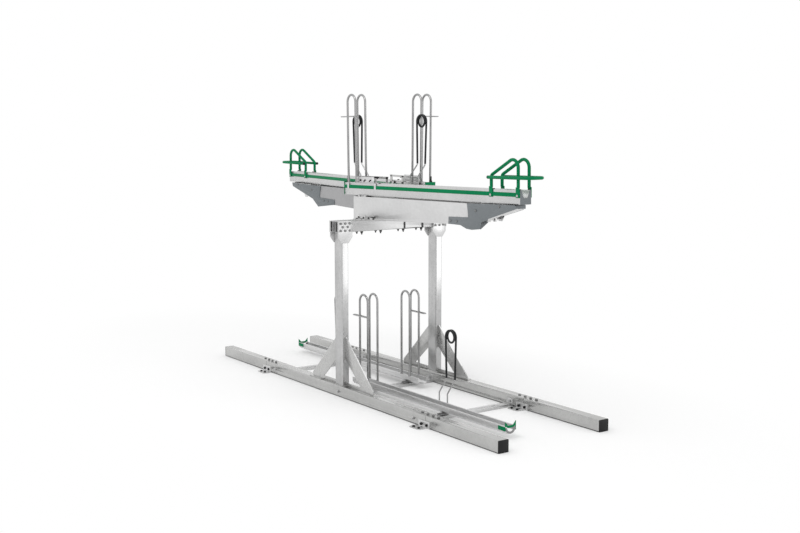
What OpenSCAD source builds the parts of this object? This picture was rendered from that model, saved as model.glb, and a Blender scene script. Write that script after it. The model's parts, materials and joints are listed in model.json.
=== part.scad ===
// Two tier bike rack: two floor rails, two columns, a pair of cross beams,
// two upper trays that slide out and tip down, and two fixed lower trays.
// Z is up, the rails lie along Y and the origin is on the floor at the centre.
// The rack looks the same after half a turn about Z, so each piece is drawn
// for the left side, the one at negative X, and turned for the right side.

/* [Rails] */
// Distance between the centre lines of the two rails
rail_gauge = 830; // [760:5:900]
// Side of the square rail tube
rail_side = 80; // [76:1:90]
// Wall of the rail tube
rail_wall = 4; // [3:0.5:5]
// Overall length of a rail with its end caps
rail_length = 3585; // [3400:5:3800]
// Length of the middle section of a rail
rail_mid_length = 2134; // [2080:2:2180]

/* [Columns and beams] */
// Width of a column across the rack
column_w = 56; // [50:1:60]
// Depth of a column along the rails
column_d = 100; // [90:1:110]
// Wall of the column tube
column_wall = 4; // [3:0.5:5]
// Height of a column
column_h = 1104; // [1000:2:1200]
// Height of the beams
beam_h = 80; // [76:1:90]
// Depth of a beam
beam_d = 35; // [33:0.5:38]
// Wall of a beam
beam_wall = 4; // [3:0.5:5]
// Reach of the beams past the column centres
beam_overhang = 60; // [58:1:70]
// Height at which a brace meets its column, above the rail
brace_h = 360; // [320:2:420]
// Reach of a brace foot from the column centre
brace_reach = 405; // [380:2:430]

/* [Upper tiers] */
// Distance of each tray centre from the middle of the rack
tray_offset = 181; // [175:1:190]
// Outer width of a carrier
carrier_w = 120; // [116:1:124]
// Height of a carrier above the beams at the column
carrier_h = 164; // [158:1:172]
// Width of an upper tray
tray_w = 86; // [82:1:88]
// Height of an upper tray
tray_h = 87; // [84:1:92]
// Length of an upper tray
tray_length = 1949; // [1930:1:1970]
// Rise of an upper tray over its length
tray_rise = 28; // [20:1:34]
// Height of an upper wheel hoop above the underside of the tray
upper_hoop_h = 724; // [640:2:800]
// Diameter of the hoop tube
hoop_tube = 16; // [14:0.5:17]
// Diameter of the green handle tube
handle_tube = 20.5; // [19:0.5:21.5]
// Length of travel of an upper tray
tray_travel = 1230; // [1200:5:1235]
// Angle through which an upper tray tips down
tip_angle = 35; // [30:1:36]

/* [Lower tiers] */
// Width of a lower tray
lower_tray_w = 80; // [76:1:84]
// Length of a lower tray
lower_tray_length = 1742; // [1700:2:1780]
// Height of the upper edge of a lower tray
lower_tray_top = 84; // [80:1:90]
// Height of a lower wheel hoop above the floor
lower_hoop_h = 724; // [660:2:780]

/* [Clamps] */
// Diameter of the coated clamp wire
clamp_coat = 14; // [12:0.5:14.5]
// Diameter of the bare clamp wire
clamp_wire = 10; // [8:0.5:11]
// Mean diameter of the clamp coil
clamp_coil = 82; // [76:1:88]

/* [Hidden] */

// Overrun of a cut past the face that it opens
cut = 1;
// Smoothness of round parts
fine = 48;
coarse = 24;
// Clearance of a piece that slides inside or beside another
slip = 0.3;
// Radial clearance of a pin that turns in its bore
running = 0.06;
// Radial clearance of a bolt in its hole
bolt_play = 0.5;

// Rails
rail_x = rail_gauge / 2;
rail_round = 6;
cap_thick = 5;
cap_plug = 24;
sleeve_wall = 5;
sleeve_length = 240;
rail_bore = rail_side - 2 * rail_wall;
splice_y = rail_mid_length / 2;
splice_near = 28;
splice_far = 86;
rail_ext_length = (rail_length - rail_mid_length) / 2 - cap_thick;

// Bolts: radius of shank, radius and height of head
bolt_r = 6;
bolt_head_r = 10;
bolt_head_h = 7;
washer_r = 13;
washer_h = 2;
small_r = 4;
small_head_r = 7.5;
small_head_h = 4;

// Cross bars
bar_back = 142;
bar_y = splice_y - bar_back;
bar_w = 66;
bar_top = 20;
bar_wall = 4;
bar_tab_h = 58;
bar_bolt_z = 37;

// Foot brackets
bracket_t = 5;
bracket_side_h = 46;
bracket_side_back = 72;
bracket_side_length = 117;
bracket_foot_back = 91;
bracket_foot_length = 110;
bracket_side_in = splice_y - bracket_side_back;
bracket_foot_in = splice_y - bracket_foot_back;
bracket_reach = 75;
bracket_round_share = 0.2;
bracket_round = bracket_round_share * bracket_foot_length;
bracket_bolt_z = 21;
bracket_bolt_edge = 28.5;
bracket_bolt_y = bracket_side_in + bracket_side_length / 2;
bracket_bolt_half = bracket_side_length / 2 - bracket_bolt_edge;
anchor_reach = 50;
anchor_y = bracket_foot_in + bracket_foot_length / 2;
anchor_share = 0.255;
anchor_half = anchor_share * bracket_foot_length;
anchor_r = 5;
anchor_head_r = 9.5;
anchor_head_h = 8;

// Columns, braces and beams
column_round = 8;
column_z = rail_side;
beam_z = column_z + column_h;
beam_top = beam_z + beam_h;
beam_half = rail_x + beam_overhang;
beam_face = column_d / 2;
beam_round = 5;
brace_t = 8;
brace_inner_h = 195;
brace_inner_reach = 248;
brace_base_h = 25;
flange_w = 28;
flange_t = 5;
head_t = 6;
head_margin = 1;
head_w = 2 * beam_overhang - 2 * head_margin;
head_drop = 114;
head_taper = 42;
head_return = 8;
head_return_t = 4;
head_bolt_r = 5;
head_nut_r = 8.5;
head_nut_h = 6;
head_row_shares = [0.7875, 0.475, 0.15];
head_wide = 37;
head_narrow = 21;

// Carriers, in side view measured from the column centre
carrier_wall = 4;
carrier_in = 105;
carrier_out = 1226;
carrier_out_high = 1213;
carrier_flat = column_d / 2;
carrier_lift = 47;
tray_gap = 9;
tray_tilt = asin(tray_rise / tray_length);
tray_z = beam_top + carrier_h + tray_gap;
ledge_w = 14;
ledge_t = 4;
weld_gap = 0.3;
foot_reach = 43;
foot_t = 5;
foot_side_h = 30;
foot_bolt_out = 21;
foot_bolt_y = beam_face - beam_d / 2;
foot_bolt_tail = 24;
side_bolt_z = 15;
side_bolt_shares = [0.32, -0.32, -0.9, -1.5];
side_bolt_ys = [for (share = side_bolt_shares) share * column_d];
stop_y = 170;
stop_z = 27;
stop_stem = 16;
stop_bar = 56;
saddle_t = 4;
saddle_w = 13;
saddle_bar = 5;
saddle_short = 3;

// Nose covers and the tipping cradle, from the column centre and the beam top
cover_t = 3;
cover_screw_shares = [0.854, 0.906];
cover_screw_ys = [for (share = cover_screw_shares) share * carrier_out];
cover_screw_h = 62;
cover_screw_z = beam_top + cover_screw_h;
pivot_y = 1400;
pivot_h = 131;
pivot_z = beam_top + pivot_h;
pivot_r = 8;
lug_arm = 44;
lug_r = 5;
rod_r = 5;
cylinder_r = 11;
strut_y = 1060;
strut_out = 1290;
strut_bore = 130;
strut_grip = 80;
eye_r = 11;
eye_t = 10;
spacer_y = 1303;
spacer_h = 141;
spacer_z = beam_top + spacer_h;
cheek_screw_y = 1529;
cheek_screw_h = 178;
cradle_t = 3;
cradle_half = 49;
cradle_in = 1340;
cradle_out = 1640;
cradle_step_h = 144;
cradle_heel_h = 78;
cradle_heel_in = 1396;
cradle_heel_out = 1428;
cradle_knee_y = 1450;
cradle_knee_h = 113;
cradle_tip_h = 168;
lip_t = 4;
lip_h = 22;
nose_roller_r = 14;
nose_roller_y = 1600;
nose_roller_z = tray_under(-nose_roller_y) - (nose_roller_r + slip) / cos(tray_tilt);
axle_r = 4;
tray_roller_r = 16;
roller_room = 63;
tray_roller_y = tray_travel - carrier_out_high + roller_room;
tray_roller_w = 14;
roller_drop = 20;
fork_gap = 16;

// Upper trays, with Y from the column centre along the sloping tray
tray_in = 252;
tray_out = tray_length - tray_in;
tray_wall = 3;
groove_top = 63;
groove_floor = 31;
groove_depth = 48;
strip_low = 46;
strip_h = 25;
strip_t = 2.5;
end_over = 9;
base_t = 3;
base_in = 206;
base_out = 165;
base_wall_in = 66;
base_wall_out = 128;
base_wall_h = 45;
tab_w = 18;
tab_drop = 42;
hoop_near = 92;
hoop_far = 195;
hoop_half = 42;
hoop_r = hoop_tube / 2;
lock_r = 4;
lock_reach = 80;
lock_start = 8;
upper_lock_h = 562;
weld = 0.8;

// Handles, in side view along the tray
handle_r = handle_tube / 2;
handle_half = 43;
handle_in = 1430;
handle_out = 1680;
handle_foot = 98;
handle_knee = 172;
handle_crown = 299;
handle_crown_r = 50;
handle_knee_r = 24;
loop_z = 160;
loop_in = 1425;
loop_out = 1801;
loop_half = 64;
loop_weld_r = 4.5;
loop_weld_z = 154;
loop_round = 46;
plug_t = 5;
plug_head_h = 3;
lug_w = 34;
lug_drop = 58;
lug_t = 4;
lug_lap = 6;

// Lower trays, with Y from the column centre
lower_in = 164;
lower_out = lower_tray_length - lower_in;
lower_wall = 3;
lower_floor = 34;
lower_floor_w = 46;
lower_shoulder = 50;
lower_lip = 9;
lower_hoop_near = -46;
lower_hoop_far = 58;
lower_lock_z = 556;
guide_t = 4;
guide_h = 31;
guide_length = 66;
guide_horn = 20;
guide_dip = 24;
tray_bolt_out = 14;
tray_bolt_xs = [-lower_tray_w / 2 - tray_bolt_out, lower_tray_w / 2 + tray_bolt_out];

// Clamps: curl count and sides of the swept wire
curl_turns = 1.5;
curl_rings = 8;
wire_sides = 6;
handle_sides = 16;
bend_step = 15;
curl_gap = 1;
curl_pitch = clamp_coat + curl_gap;
clamp_stance = 4;
upper_feet = [110, 198];
upper_mid_x = 70;
upper_foot_z = 74;
upper_knee_h = 64;
upper_shin_h = 148;
upper_coil_h = 456;
upper_shift = 84;
lower_feet = [-863, -783];
lower_mid_x = 54;
lower_foot_z = 60;
lower_knee_h = 79;
lower_shin_h = 184;
lower_coil_h = 477;
lower_shift = -80;

// Shared helpers

// Draws its children on both sides of the rack
module both() {
    children();
    rotate([0, 0, 180])
        children();
}

// Draws its children at both ends of the left side
module ends() {
    for (side = [-1, 1])
        scale([1, side, 1])
            children();
}

// Turns a drawing in X and Y upright, its X along Y and its Y along Z
module upright() {
    rotate([90, 0, 90])
        children();
}

// A plate of thickness t centred on x, drawn upright from its outline
module side_plate(outline, x, t) {
    translate([x - t / 2, 0, 0])
        upright()
            linear_extrude(height = t)
                polygon(outline);
}

// A rectangle with round corners
module round_rect(w, h, r) {
    square([w - 2 * r, h], center = true);
    square([w, h - 2 * r], center = true);
    for (x = [-1, 1], y = [-1, 1])
        translate([x * (w / 2 - r), y * (h / 2 - r)])
            circle(r = r, $fn = fine);
}

// A square or oblong tube with round corners, standing on its end
module box_tube(w, d, length, wall, r) {
    linear_extrude(height = length)
        difference() {
            round_rect(w, d, r);
            round_rect(w - 2 * wall, d - 2 * wall, r - wall);
        }
}

// A cylinder along X, Y or Z from a point
module rod_x(r, length) {
    rotate([0, 90, 0])
        cylinder(r = r, h = length, center = true, $fn = fine);
}

module rod_y(r, length) {
    rotate([90, 0, 0])
        cylinder(r = r, h = length, center = true, $fn = fine);
}

// A bolt whose head stands on the plane z = 0 and whose shank goes down
module bolt(r, head_r, head_h, shank) {
    cylinder(r = head_r, h = head_h, $fn = 6);
    translate([0, 0, -shank])
        cylinder(r = r, h = shank, $fn = coarse);
}

// A bolt on a round washer
module washer_bolt(r, head_r, head_h, shank) {
    cylinder(r = washer_r, h = washer_h, $fn = fine);
    translate([0, 0, washer_h])
        bolt(r, head_r, head_h, shank + washer_h);
}

function turn_of(a, b, c) = let (
    u = (b - a) / norm(b - a),
    v = (c - b) / norm(c - b)
) atan2(u[0] * v[1] - u[1] * v[0], u[0] * v[0] + u[1] * v[1]);

function heading(a, b) = atan2(b[1] - a[1], b[0] - a[0]);

// Length that the bend at point i takes from each straight beside it
function bend_take(points, radii, i) = (i == 0 || i == len(points) - 1) ? 0
    : radii[i - 1] * tan(abs(turn_of(points[i - 1], points[i], points[i + 1])) / 2);

// A round tube through points in the plane z = 0, with a radius for each bend
module bent_tube(points, radii, tube_r) {
    last = len(points) - 1;
    for (i = [0:last - 1]) {
        span = points[i + 1] - points[i];
        way = span / norm(span);
        start = points[i] + way * bend_take(points, radii, i);
        stop = points[i + 1] - way * bend_take(points, radii, i + 1);
        if (norm(stop - start) > 0)
            translate([start[0], start[1], 0])
                rotate([0, 0, heading(points[i], points[i + 1])])
                    rotate([0, 90, 0])
                        cylinder(r = tube_r, h = norm(stop - start), $fn = coarse);
    }
    for (i = [1:last - 1]) {
        turn = turn_of(points[i - 1], points[i], points[i + 1]);
        course = heading(points[i - 1], points[i]);
        hand = turn > 0 ? 1 : -1;
        take = bend_take(points, radii, i);
        start = points[i] - take * [cos(course), sin(course)];
        centre = start + radii[i - 1] * [cos(course + hand * 90), sin(course + hand * 90)];
        first = turn > 0 ? course - 90 : course + 90 + turn;
        translate([centre[0], centre[1], 0])
            rotate([0, 0, first])
                rotate_extrude(angle = abs(turn), $fn = fine)
                    translate([radii[i - 1], 0])
                        circle(r = tube_r, $fn = coarse);
    }
}

// Moves a drawing into the frame of the left upper tray: Y along the tray,
// Z square to its underside, X from its centre line
module in_tray() {
    translate([-tray_offset, 0, tray_z])
        rotate([-tray_tilt, 0, 0])
            children();
}

// Height of the underside of the tray over a place on the floor
function tray_under(y) = tray_z - y * tan(tray_tilt);

// Rails

module rail_centre() {
    color("gainsboro")
        difference() {
            translate([-rail_x, rail_mid_length / 2, rail_side / 2])
                rotate([90, 0, 0])
                    box_tube(rail_side, rail_side, rail_mid_length, rail_wall, rail_round);
            ends()
                splice_holes(splice_near);
            ends()
                splice_holes(splice_far);
            bar_holes();
            ends()
                bracket_holes(rail_side + cut);
        }
}

// Holes for the splice bolts through the top wall, at a distance in from the joint
module splice_holes(away) {
    for (y = [splice_y - away, splice_y + away])
        translate([-rail_x, y, rail_side / 2])
            cylinder(r = bolt_r + bolt_play, h = rail_side, $fn = coarse);
}

// Holes for the cross bar bolts through both sides of the rail
module bar_holes() {
    for (y = [-bar_y, 0, bar_y])
        translate([-rail_x, y, bar_bolt_z])
            rod_x(bolt_r + bolt_play, rail_side + 2 * cut);
}

// Holes for the bracket bolts, right through the rail and sleeve
module bracket_holes(span) {
    for (y = [bracket_bolt_y - bracket_bolt_half, bracket_bolt_y + bracket_bolt_half])
        translate([-rail_x, y, bracket_bolt_z])
            rod_x(bolt_r + bolt_play, span);
}

module rail_left_centre() {
    rail_centre();
}

module rail_right_centre() {
    rotate([0, 0, 180])
        rail_centre();
}

module rail_extensions() {
    color("gainsboro")
        both()
            ends()
                difference() {
                    translate([-rail_x, splice_y + rail_ext_length, rail_side / 2])
                        rotate([90, 0, 0])
                            box_tube(rail_side, rail_side, rail_ext_length, rail_wall, rail_round);
                    splice_holes(splice_near);
                    splice_holes(splice_far);
                    bracket_holes(rail_side + cut);
                }
}

module rail_end_caps() {
    plug = rail_bore - 2 * slip;
    color("black")
        both()
            ends()
                translate([-rail_x, rail_length / 2, rail_side / 2])
                    rotate([90, 0, 0]) {
                        linear_extrude(height = cap_thick)
                            round_rect(rail_side, rail_side, rail_round);
                        linear_extrude(height = cap_plug)
                            round_rect(plug, plug, rail_round - rail_wall);
                    }
}

module splice_sleeves() {
    side = rail_bore - 2 * slip;
    color("silver")
        both()
            ends()
                difference() {
                    translate([-rail_x, splice_y + sleeve_length / 2, rail_side / 2])
                        rotate([90, 0, 0])
                            linear_extrude(height = sleeve_length)
                                difference() {
                                    round_rect(side, side, rail_round - rail_wall);
                                    square([side - 2 * sleeve_wall, side - 2 * sleeve_wall], center = true);
                                }
                    splice_holes(splice_near);
                    splice_holes(splice_far);
                    bracket_holes(rail_side + cut);
                }
}

module splice_bolts() {
    color("lightgray")
        both()
            ends()
                for (away = [-splice_far, -splice_near, splice_near, splice_far])
                    translate([-rail_x, splice_y + away, rail_side])
                        bolt(bolt_r, bolt_head_r, bolt_head_h, rail_wall + sleeve_wall + slip);
}

// Cross bars

module cross_bar(y) {
    half = rail_x - rail_side / 2;
    color("lightgray")
        difference() {
            union() {
                translate([-half, y - bar_w / 2, bar_top - bar_wall])
                    cube([2 * half, bar_w, bar_wall]);
                for (edge = [y - bar_w / 2, y + bar_w / 2 - bar_wall])
                    translate([-half, edge, 0])
                        cube([2 * half, bar_wall, bar_top]);
                for (x = [-half, half - bar_wall])
                    translate([x, y - bar_w / 2, 0])
                        cube([bar_wall, bar_w, bar_tab_h]);
            }
            translate([0, y, bar_bolt_z])
                rod_x(bolt_r + bolt_play, 2 * half + 2 * cut);
            for (side = [-1, 1])
                for (x = tray_bolt_xs)
                    translate([side * tray_offset + x, y, 0])
                        cylinder(r = small_r + bolt_play, h = bar_top + cut, $fn = coarse);
        }
}

module cross_bar_front() {
    cross_bar(-bar_y);
}

module cross_bar_middle() {
    cross_bar(0);
}

module cross_bar_rear() {
    cross_bar(bar_y);
}

module cross_bar_bolts() {
    shank = rail_side + bar_wall + washer_h;
    nut_h = bolt_head_h;
    color("silver")
        both()
            for (y = [-bar_y, 0, bar_y])
                translate([-rail_x - rail_side / 2, y, bar_bolt_z])
                    rotate([0, -90, 0]) {
                        washer_bolt(bolt_r, bolt_head_r, bolt_head_h, shank);
                        translate([0, 0, -rail_side - bar_wall - nut_h])
                            cylinder(r = bolt_head_r, h = nut_h, $fn = 6);
                    }
}

// Foot brackets: one on each side of the rail near each joint

module at_brackets() {
    both()
        ends()
            translate([-rail_x, 0, 0])
                for (side = [-1, 1])
                    scale([side, 1, 1])
                        translate([rail_side / 2, 0, 0])
                            children();
}

module bracket_one() {
    foot_end = bracket_foot_in + bracket_foot_length;
    difference() {
        union() {
            translate([0, bracket_side_in, 0])
                cube([bracket_t, bracket_side_length, bracket_side_h]);
            translate([0, bracket_foot_in, 0])
                cube([bracket_reach - bracket_round, bracket_foot_length, bracket_t]);
            translate([0, bracket_foot_in + bracket_round, 0])
                cube([bracket_reach, bracket_foot_length - 2 * bracket_round, bracket_t]);
            for (y = [bracket_foot_in + bracket_round, foot_end - bracket_round])
                translate([bracket_reach - bracket_round, y, 0])
                    cylinder(r = bracket_round, h = bracket_t, $fn = fine);
        }
        for (y = [anchor_y - anchor_half, anchor_y + anchor_half])
            translate([anchor_reach, y, -cut])
                cylinder(r = anchor_r + bolt_play, h = bracket_t + 2 * cut, $fn = coarse);
        for (y = [bracket_bolt_y - bracket_bolt_half, bracket_bolt_y + bracket_bolt_half])
            translate([0, y, bracket_bolt_z])
                rod_x(bolt_r + bolt_play, 2 * bracket_t + 2 * cut);
    }
}

module foot_brackets() {
    color("gainsboro")
        at_brackets()
            bracket_one();
}

module foot_bracket_bolts() {
    color("black")
        at_brackets()
            for (y = [bracket_bolt_y - bracket_bolt_half, bracket_bolt_y + bracket_bolt_half])
                translate([bracket_t, y, bracket_bolt_z])
                    rotate([0, 90, 0])
                        bolt(bolt_r, bolt_head_r, bolt_head_h, bracket_t + rail_wall + sleeve_wall + slip);
}

module floor_anchors() {
    color("black")
        at_brackets()
            for (y = [anchor_y - anchor_half, anchor_y + anchor_half])
                translate([anchor_reach, y, bracket_t])
                    bolt(anchor_r, anchor_head_r, anchor_head_h, bracket_t);
}

// Columns and braces

module column() {
    color("gainsboro")
        translate([-rail_x, 0, column_z])
            box_tube(column_w, column_d, column_h, column_wall, column_round);
}

module column_left() {
    column();
}

module column_right() {
    rotate([0, 0, 180])
        column();
}

module column_braces() {
    face = column_d / 2;
    top = column_z + brace_h;
    foot = column_z + brace_base_h;
    outline = [
        [face, top], [brace_reach, foot], [brace_reach, column_z], [face, column_z],
        [face, foot], [brace_inner_reach, foot], [face, column_z + brace_inner_h]
    ];
    color("gainsboro")
        both()
            ends() {
                side_plate(outline, -rail_x, brace_t);
                translate([-rail_x - brace_t / 2 - flange_w, brace_inner_reach, column_z])
                    cube([flange_w + brace_t / 2, brace_reach - brace_inner_reach, flange_t]);
            }
}

// Head plates with their side lips, on both faces of each column top

module head_plates() {
    low = beam_top - head_drop;
    half = head_w / 2;
    outline = [
        [-half, beam_top], [half, beam_top], [half, low],
        [column_w / 2, low - head_taper], [-column_w / 2, low - head_taper], [-half, low]
    ];
    color("gainsboro")
        both()
            ends()
                translate([-rail_x, beam_face, 0]) {
                    difference() {
                        translate([0, head_t, 0])
                            rotate([90, 0, 0])
                                linear_extrude(height = head_t)
                                    polygon(outline);
                        head_bolt_places()
                            rod_y(head_bolt_r + bolt_play, 2 * head_t + 2 * cut);
                    }
                    for (x = [-half, half - head_return_t])
                        translate([x, head_t - cut, beam_z])
                            cube([head_return_t, head_return + cut, beam_h]);
                }
}

// Places of the eight bolts of a head plate, on the plate's inner face
module head_bolt_places() {
    for (x = [-head_wide, 0, head_wide], share = [head_row_shares[0], head_row_shares[2]])
        translate([x, 0, beam_z + share * beam_h])
            children();
    for (x = [-head_narrow, head_narrow])
        translate([x, 0, beam_z + head_row_shares[1] * beam_h])
            children();
}

module head_bolts() {
    color("silver")
        both()
            ends()
                translate([-rail_x, beam_face + head_t, 0])
                    head_bolt_places()
                        rotate([-90, 0, 0])
                            bolt(head_bolt_r, head_nut_r, head_nut_h, head_t + beam_wall + head_nut_h);
}

// Beams: oblong tubes with open ends, one on each face of the columns

module cross_beam() {
    color("gainsboro")
        difference() {
            translate([-beam_half, -beam_face + beam_d / 2, beam_z + beam_h / 2])
                rotate([90, 0, 90])
                    box_tube(beam_d, beam_h, 2 * beam_half, beam_wall, beam_round);
            for (side = [-1, 1])
                translate([side * rail_x, -beam_face, 0])
                    head_bolt_places()
                        rod_y(head_bolt_r + bolt_play, 2 * beam_wall + cut);
            for (side = [-1, 1])
                foot_bolt_holes(side * tray_offset);
        }
}

// Holes for the vertical bolts of the carrier feet
module foot_bolt_holes(x) {
    for (edge = [-1, 1])
        for (y = [-foot_bolt_y, foot_bolt_y])
            translate([x + edge * (carrier_w / 2 + foot_bolt_out), y, beam_z - cut])
                cylinder(r = head_bolt_r + bolt_play, h = beam_h + foot_t + 2 * cut, $fn = coarse);
}

module cross_beam_front() {
    cross_beam();
}

module cross_beam_rear() {
    rotate([0, 0, 180])
        cross_beam();
}

// U-shaped straps on the outer face of each beam, under the carrier beyond it
module beam_saddles() {
    half = carrier_w / 2 + foot_bolt_out;
    color("dimgray")
        both()
            translate([tray_offset, -beam_face - saddle_t, beam_z])
                difference() {
                    translate([-half - saddle_w / 2, 0, 0])
                        cube([2 * half + saddle_w, saddle_t, beam_h - saddle_short]);
                    translate([-half + saddle_w / 2, -cut, saddle_bar])
                        cube([2 * half - saddle_w, saddle_t + 2 * cut, beam_h]);
                }
}

// Carriers: open channels that hold the rollers and ledges of the upper trays

// Height of the upper edge of a carrier over a place on the floor
function carrier_edge(y) = tray_under(y) - tray_gap;

// Height of the underside of a carrier outside its flat stretch
function carrier_under(y) = y > -carrier_flat ? beam_top
    : beam_top + carrier_lift * (-y - carrier_flat) / (carrier_out - carrier_flat);

module carrier() {
    wall_x = (carrier_w - carrier_wall) / 2;
    outline = [
        [carrier_in, beam_top], [carrier_in, carrier_edge(carrier_in)],
        [-carrier_out_high, carrier_edge(-carrier_out_high)],
        [-carrier_out, carrier_under(-carrier_out)], [-carrier_flat, beam_top]
    ];
    floor_line = [
        [carrier_in, beam_top], [carrier_in, beam_top + carrier_wall],
        [-carrier_flat, beam_top + carrier_wall],
        [-carrier_out, carrier_under(-carrier_out) + carrier_wall],
        [-carrier_out, carrier_under(-carrier_out)], [-carrier_flat, beam_top]
    ];
    ledge_drop = roller_drop + tray_roller_r + slip;
    ledge_line = [
        [carrier_in, tray_under(carrier_in) - ledge_drop],
        [-carrier_out_high, tray_under(-carrier_out_high) - ledge_drop],
        [-carrier_out_high, tray_under(-carrier_out_high) - ledge_drop - ledge_t],
        [carrier_in, tray_under(carrier_in) - ledge_drop - ledge_t]
    ];
    inner = carrier_w - 2 * carrier_wall;
    color("gainsboro")
        translate([-tray_offset, 0, 0])
            difference() {
                union() {
                    for (side = [-1, 1]) {
                        side_plate(outline, side * wall_x, carrier_wall);
                        side_plate(ledge_line, side * (inner / 2 - weld_gap - ledge_w / 2), ledge_w);
                    }
                    side_plate(floor_line, 0, inner - 2 * weld_gap);
                }
                carrier_side_places()
                    rod_x(small_r + bolt_play, carrier_w + 2 * cut);
                for (y = cover_screw_ys)
                    translate([0, -y, cover_screw_z])
                        rod_x(small_r + bolt_play, carrier_w + 2 * cut);
            }
}

// Places of the side bolts, on the centre line of a carrier
module carrier_side_places() {
    for (y = side_bolt_ys)
        translate([0, y, beam_top + side_bolt_z])
            children();
}

module carrier_left() {
    carrier();
}

module carrier_right() {
    rotate([0, 0, 180])
        carrier();
}

// Angles that stand on the beams and hold the sides of a carrier
module carrier_feet() {
    color("lightgray")
        both()
            translate([-tray_offset, 0, 0])
                for (side = [-1, 1])
                    scale([side, 1, 1])
                        translate([carrier_w / 2, -beam_face, beam_top])
                            difference() {
                                union() {
                                    cube([foot_reach, 2 * beam_face, foot_t]);
                                    cube([foot_t, 2 * beam_face, foot_side_h]);
                                }
                                for (y = [-foot_bolt_y, foot_bolt_y])
                                    translate([foot_bolt_out, beam_face + y, -cut])
                                        cylinder(r = head_bolt_r + bolt_play, h = foot_t + 2 * cut, $fn = coarse);
                                for (y = [side_bolt_ys[0], side_bolt_ys[1]])
                                    translate([0, beam_face + y, side_bolt_z])
                                        rod_x(small_r + bolt_play, 2 * foot_t + 2 * cut);
                            }
}

// Vertical bolts through feet and beams, side bolts and the stop bolt of each carrier
module carrier_bolts() {
    out = carrier_w / 2;
    color("silver")
        both()
            translate([-tray_offset, 0, 0])
                for (side = [-1, 1])
                    scale([side, 1, 1]) {
                        for (y = [-foot_bolt_y, foot_bolt_y])
                            translate([out + foot_bolt_out, y, beam_top + foot_t]) {
                                bolt(head_bolt_r, head_nut_r, head_nut_h, foot_t + beam_h + foot_bolt_tail);
                                translate([0, 0, -foot_t - beam_h - head_nut_h])
                                    cylinder(r = head_nut_r, h = head_nut_h, $fn = 6);
                            }
                        for (i = [0:3])
                            translate([out + (i < 2 ? foot_t : 0), side_bolt_ys[i], beam_top + side_bolt_z])
                                rotate([0, 90, 0])
                                    bolt(small_r, small_head_r, small_head_h, carrier_wall + (i < 2 ? foot_t : 0));
                        translate([out, -stop_y, beam_top + stop_z]) {
                            translate([stop_stem / 2, 0, 0])
                                rod_x(small_r, stop_stem);
                            translate([stop_stem, 0, 0])
                                rod_y(small_r, stop_bar);
                        }
                    }
}

// Nose covers: two cheeks that carry on from the end of each carrier

// Outlines of the outer and inner cheek in side view, as shares of the reach
// of the carrier from the column centre and of its height above the beams
outer_cheek_shares = [
    [0.989, 1.11], [1.002, 0.58], [0.836, 0.525], [0.834, 0.244], [0.936, 0.244],
    [0.986, 0.128], [1.031, 0.11], [1.092, 0.165], [1.102, 0.335], [1.108, 0.445],
    [1.16, 0.555], [1.387, 1.05], [1.36, 1.185]
];
inner_cheek_shares = [
    [0.95, 1.09], [0.962, 0.52], [0.775, 0.47], [0.775, 0.228], [0.979, 0.061],
    [1.051, 0.43], [1.313, 0.975], [1.325, 1.16]
];

// Points of a cheek from its table of shares
function cheek(shares) = [for (place = shares)
    [-place[0] * carrier_out, beam_top + place[1] * carrier_h]];

module nose_cover() {
    color("gray")
        translate([-tray_offset, 0, 0])
            for (side = [-1, 1])
                difference() {
                    side_plate(cheek(side < 0 ? outer_cheek_shares : inner_cheek_shares),
                        side * (carrier_w + cover_t) / 2, cover_t);
                    for (y = cover_screw_ys)
                        translate([0, -y, cover_screw_z])
                            rod_x(small_r + bolt_play, carrier_w + 4 * cover_t);
                    cheek_screw_places()
                        rod_x(small_r + bolt_play, carrier_w + 4 * cover_t);
                }
}

// Places of the two screws in the upper part of a cheek, on its centre line
module cheek_screw_places() {
    translate([0, -spacer_y, spacer_z])
        children();
    translate([0, -cheek_screw_y, beam_top + cheek_screw_h])
        children();
}

module nose_cover_left() {
    nose_cover();
}

module nose_cover_right() {
    rotate([0, 0, 180])
        nose_cover();
}

module nose_screws() {
    out = carrier_w / 2 + cover_t;
    color("lightgray")
        both()
            translate([-tray_offset, 0, 0])
                for (side = [-1, 1])
                    scale([side, 1, 1]) {
                        for (y = cover_screw_ys)
                            translate([out, -y, cover_screw_z])
                                rotate([0, 90, 0])
                                    bolt(small_r, small_head_r, small_head_h, cover_t + carrier_wall);
                        cheek_screw_places()
                            translate([out, 0, 0])
                                rotate([0, 90, 0])
                                    bolt(small_r, small_head_r, small_head_h, cover_t);
                    }
}

// Hinge pin, strut anchor pin and spacer of each nose, from wall to wall
module nose_pins() {
    inner = carrier_w - 2 * carrier_wall;
    color("silver")
        both()
            translate([-tray_offset, 0, 0]) {
                translate([0, -pivot_y, pivot_z])
                    rod_x(pivot_r, carrier_w);
                translate([0, -spacer_y, spacer_z])
                    rod_x(pivot_r, carrier_w);
                translate([0, -strut_y, strut_z])
                    rod_x(lug_r, inner);
            }
}

// Gas struts: the lug below the hinge swings by equal angles past straight down
lug_y = -pivot_y - lug_arm * sin(tip_angle / 2);
lug_z = pivot_z - lug_arm * cos(tip_angle / 2);
strut_z = lug_z;
lug_sag = lug_arm * (1 - cos(tip_angle / 2));

module strut_cylinders() {
    length = strut_out - strut_y;
    color("dimgray")
        both()
            translate([-tray_offset, -strut_y, strut_z])
                difference() {
                    union() {
                        rod_x(eye_r, eye_t);
                        translate([0, -length / 2, 0])
                            rod_y(cylinder_r, length);
                    }
                    rod_x(lug_r + running, eye_t + cylinder_r * 2);
                    translate([0, -length + strut_bore / 2, 0])
                        rod_y(rod_r + running, strut_bore + cut);
                }
}

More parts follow.
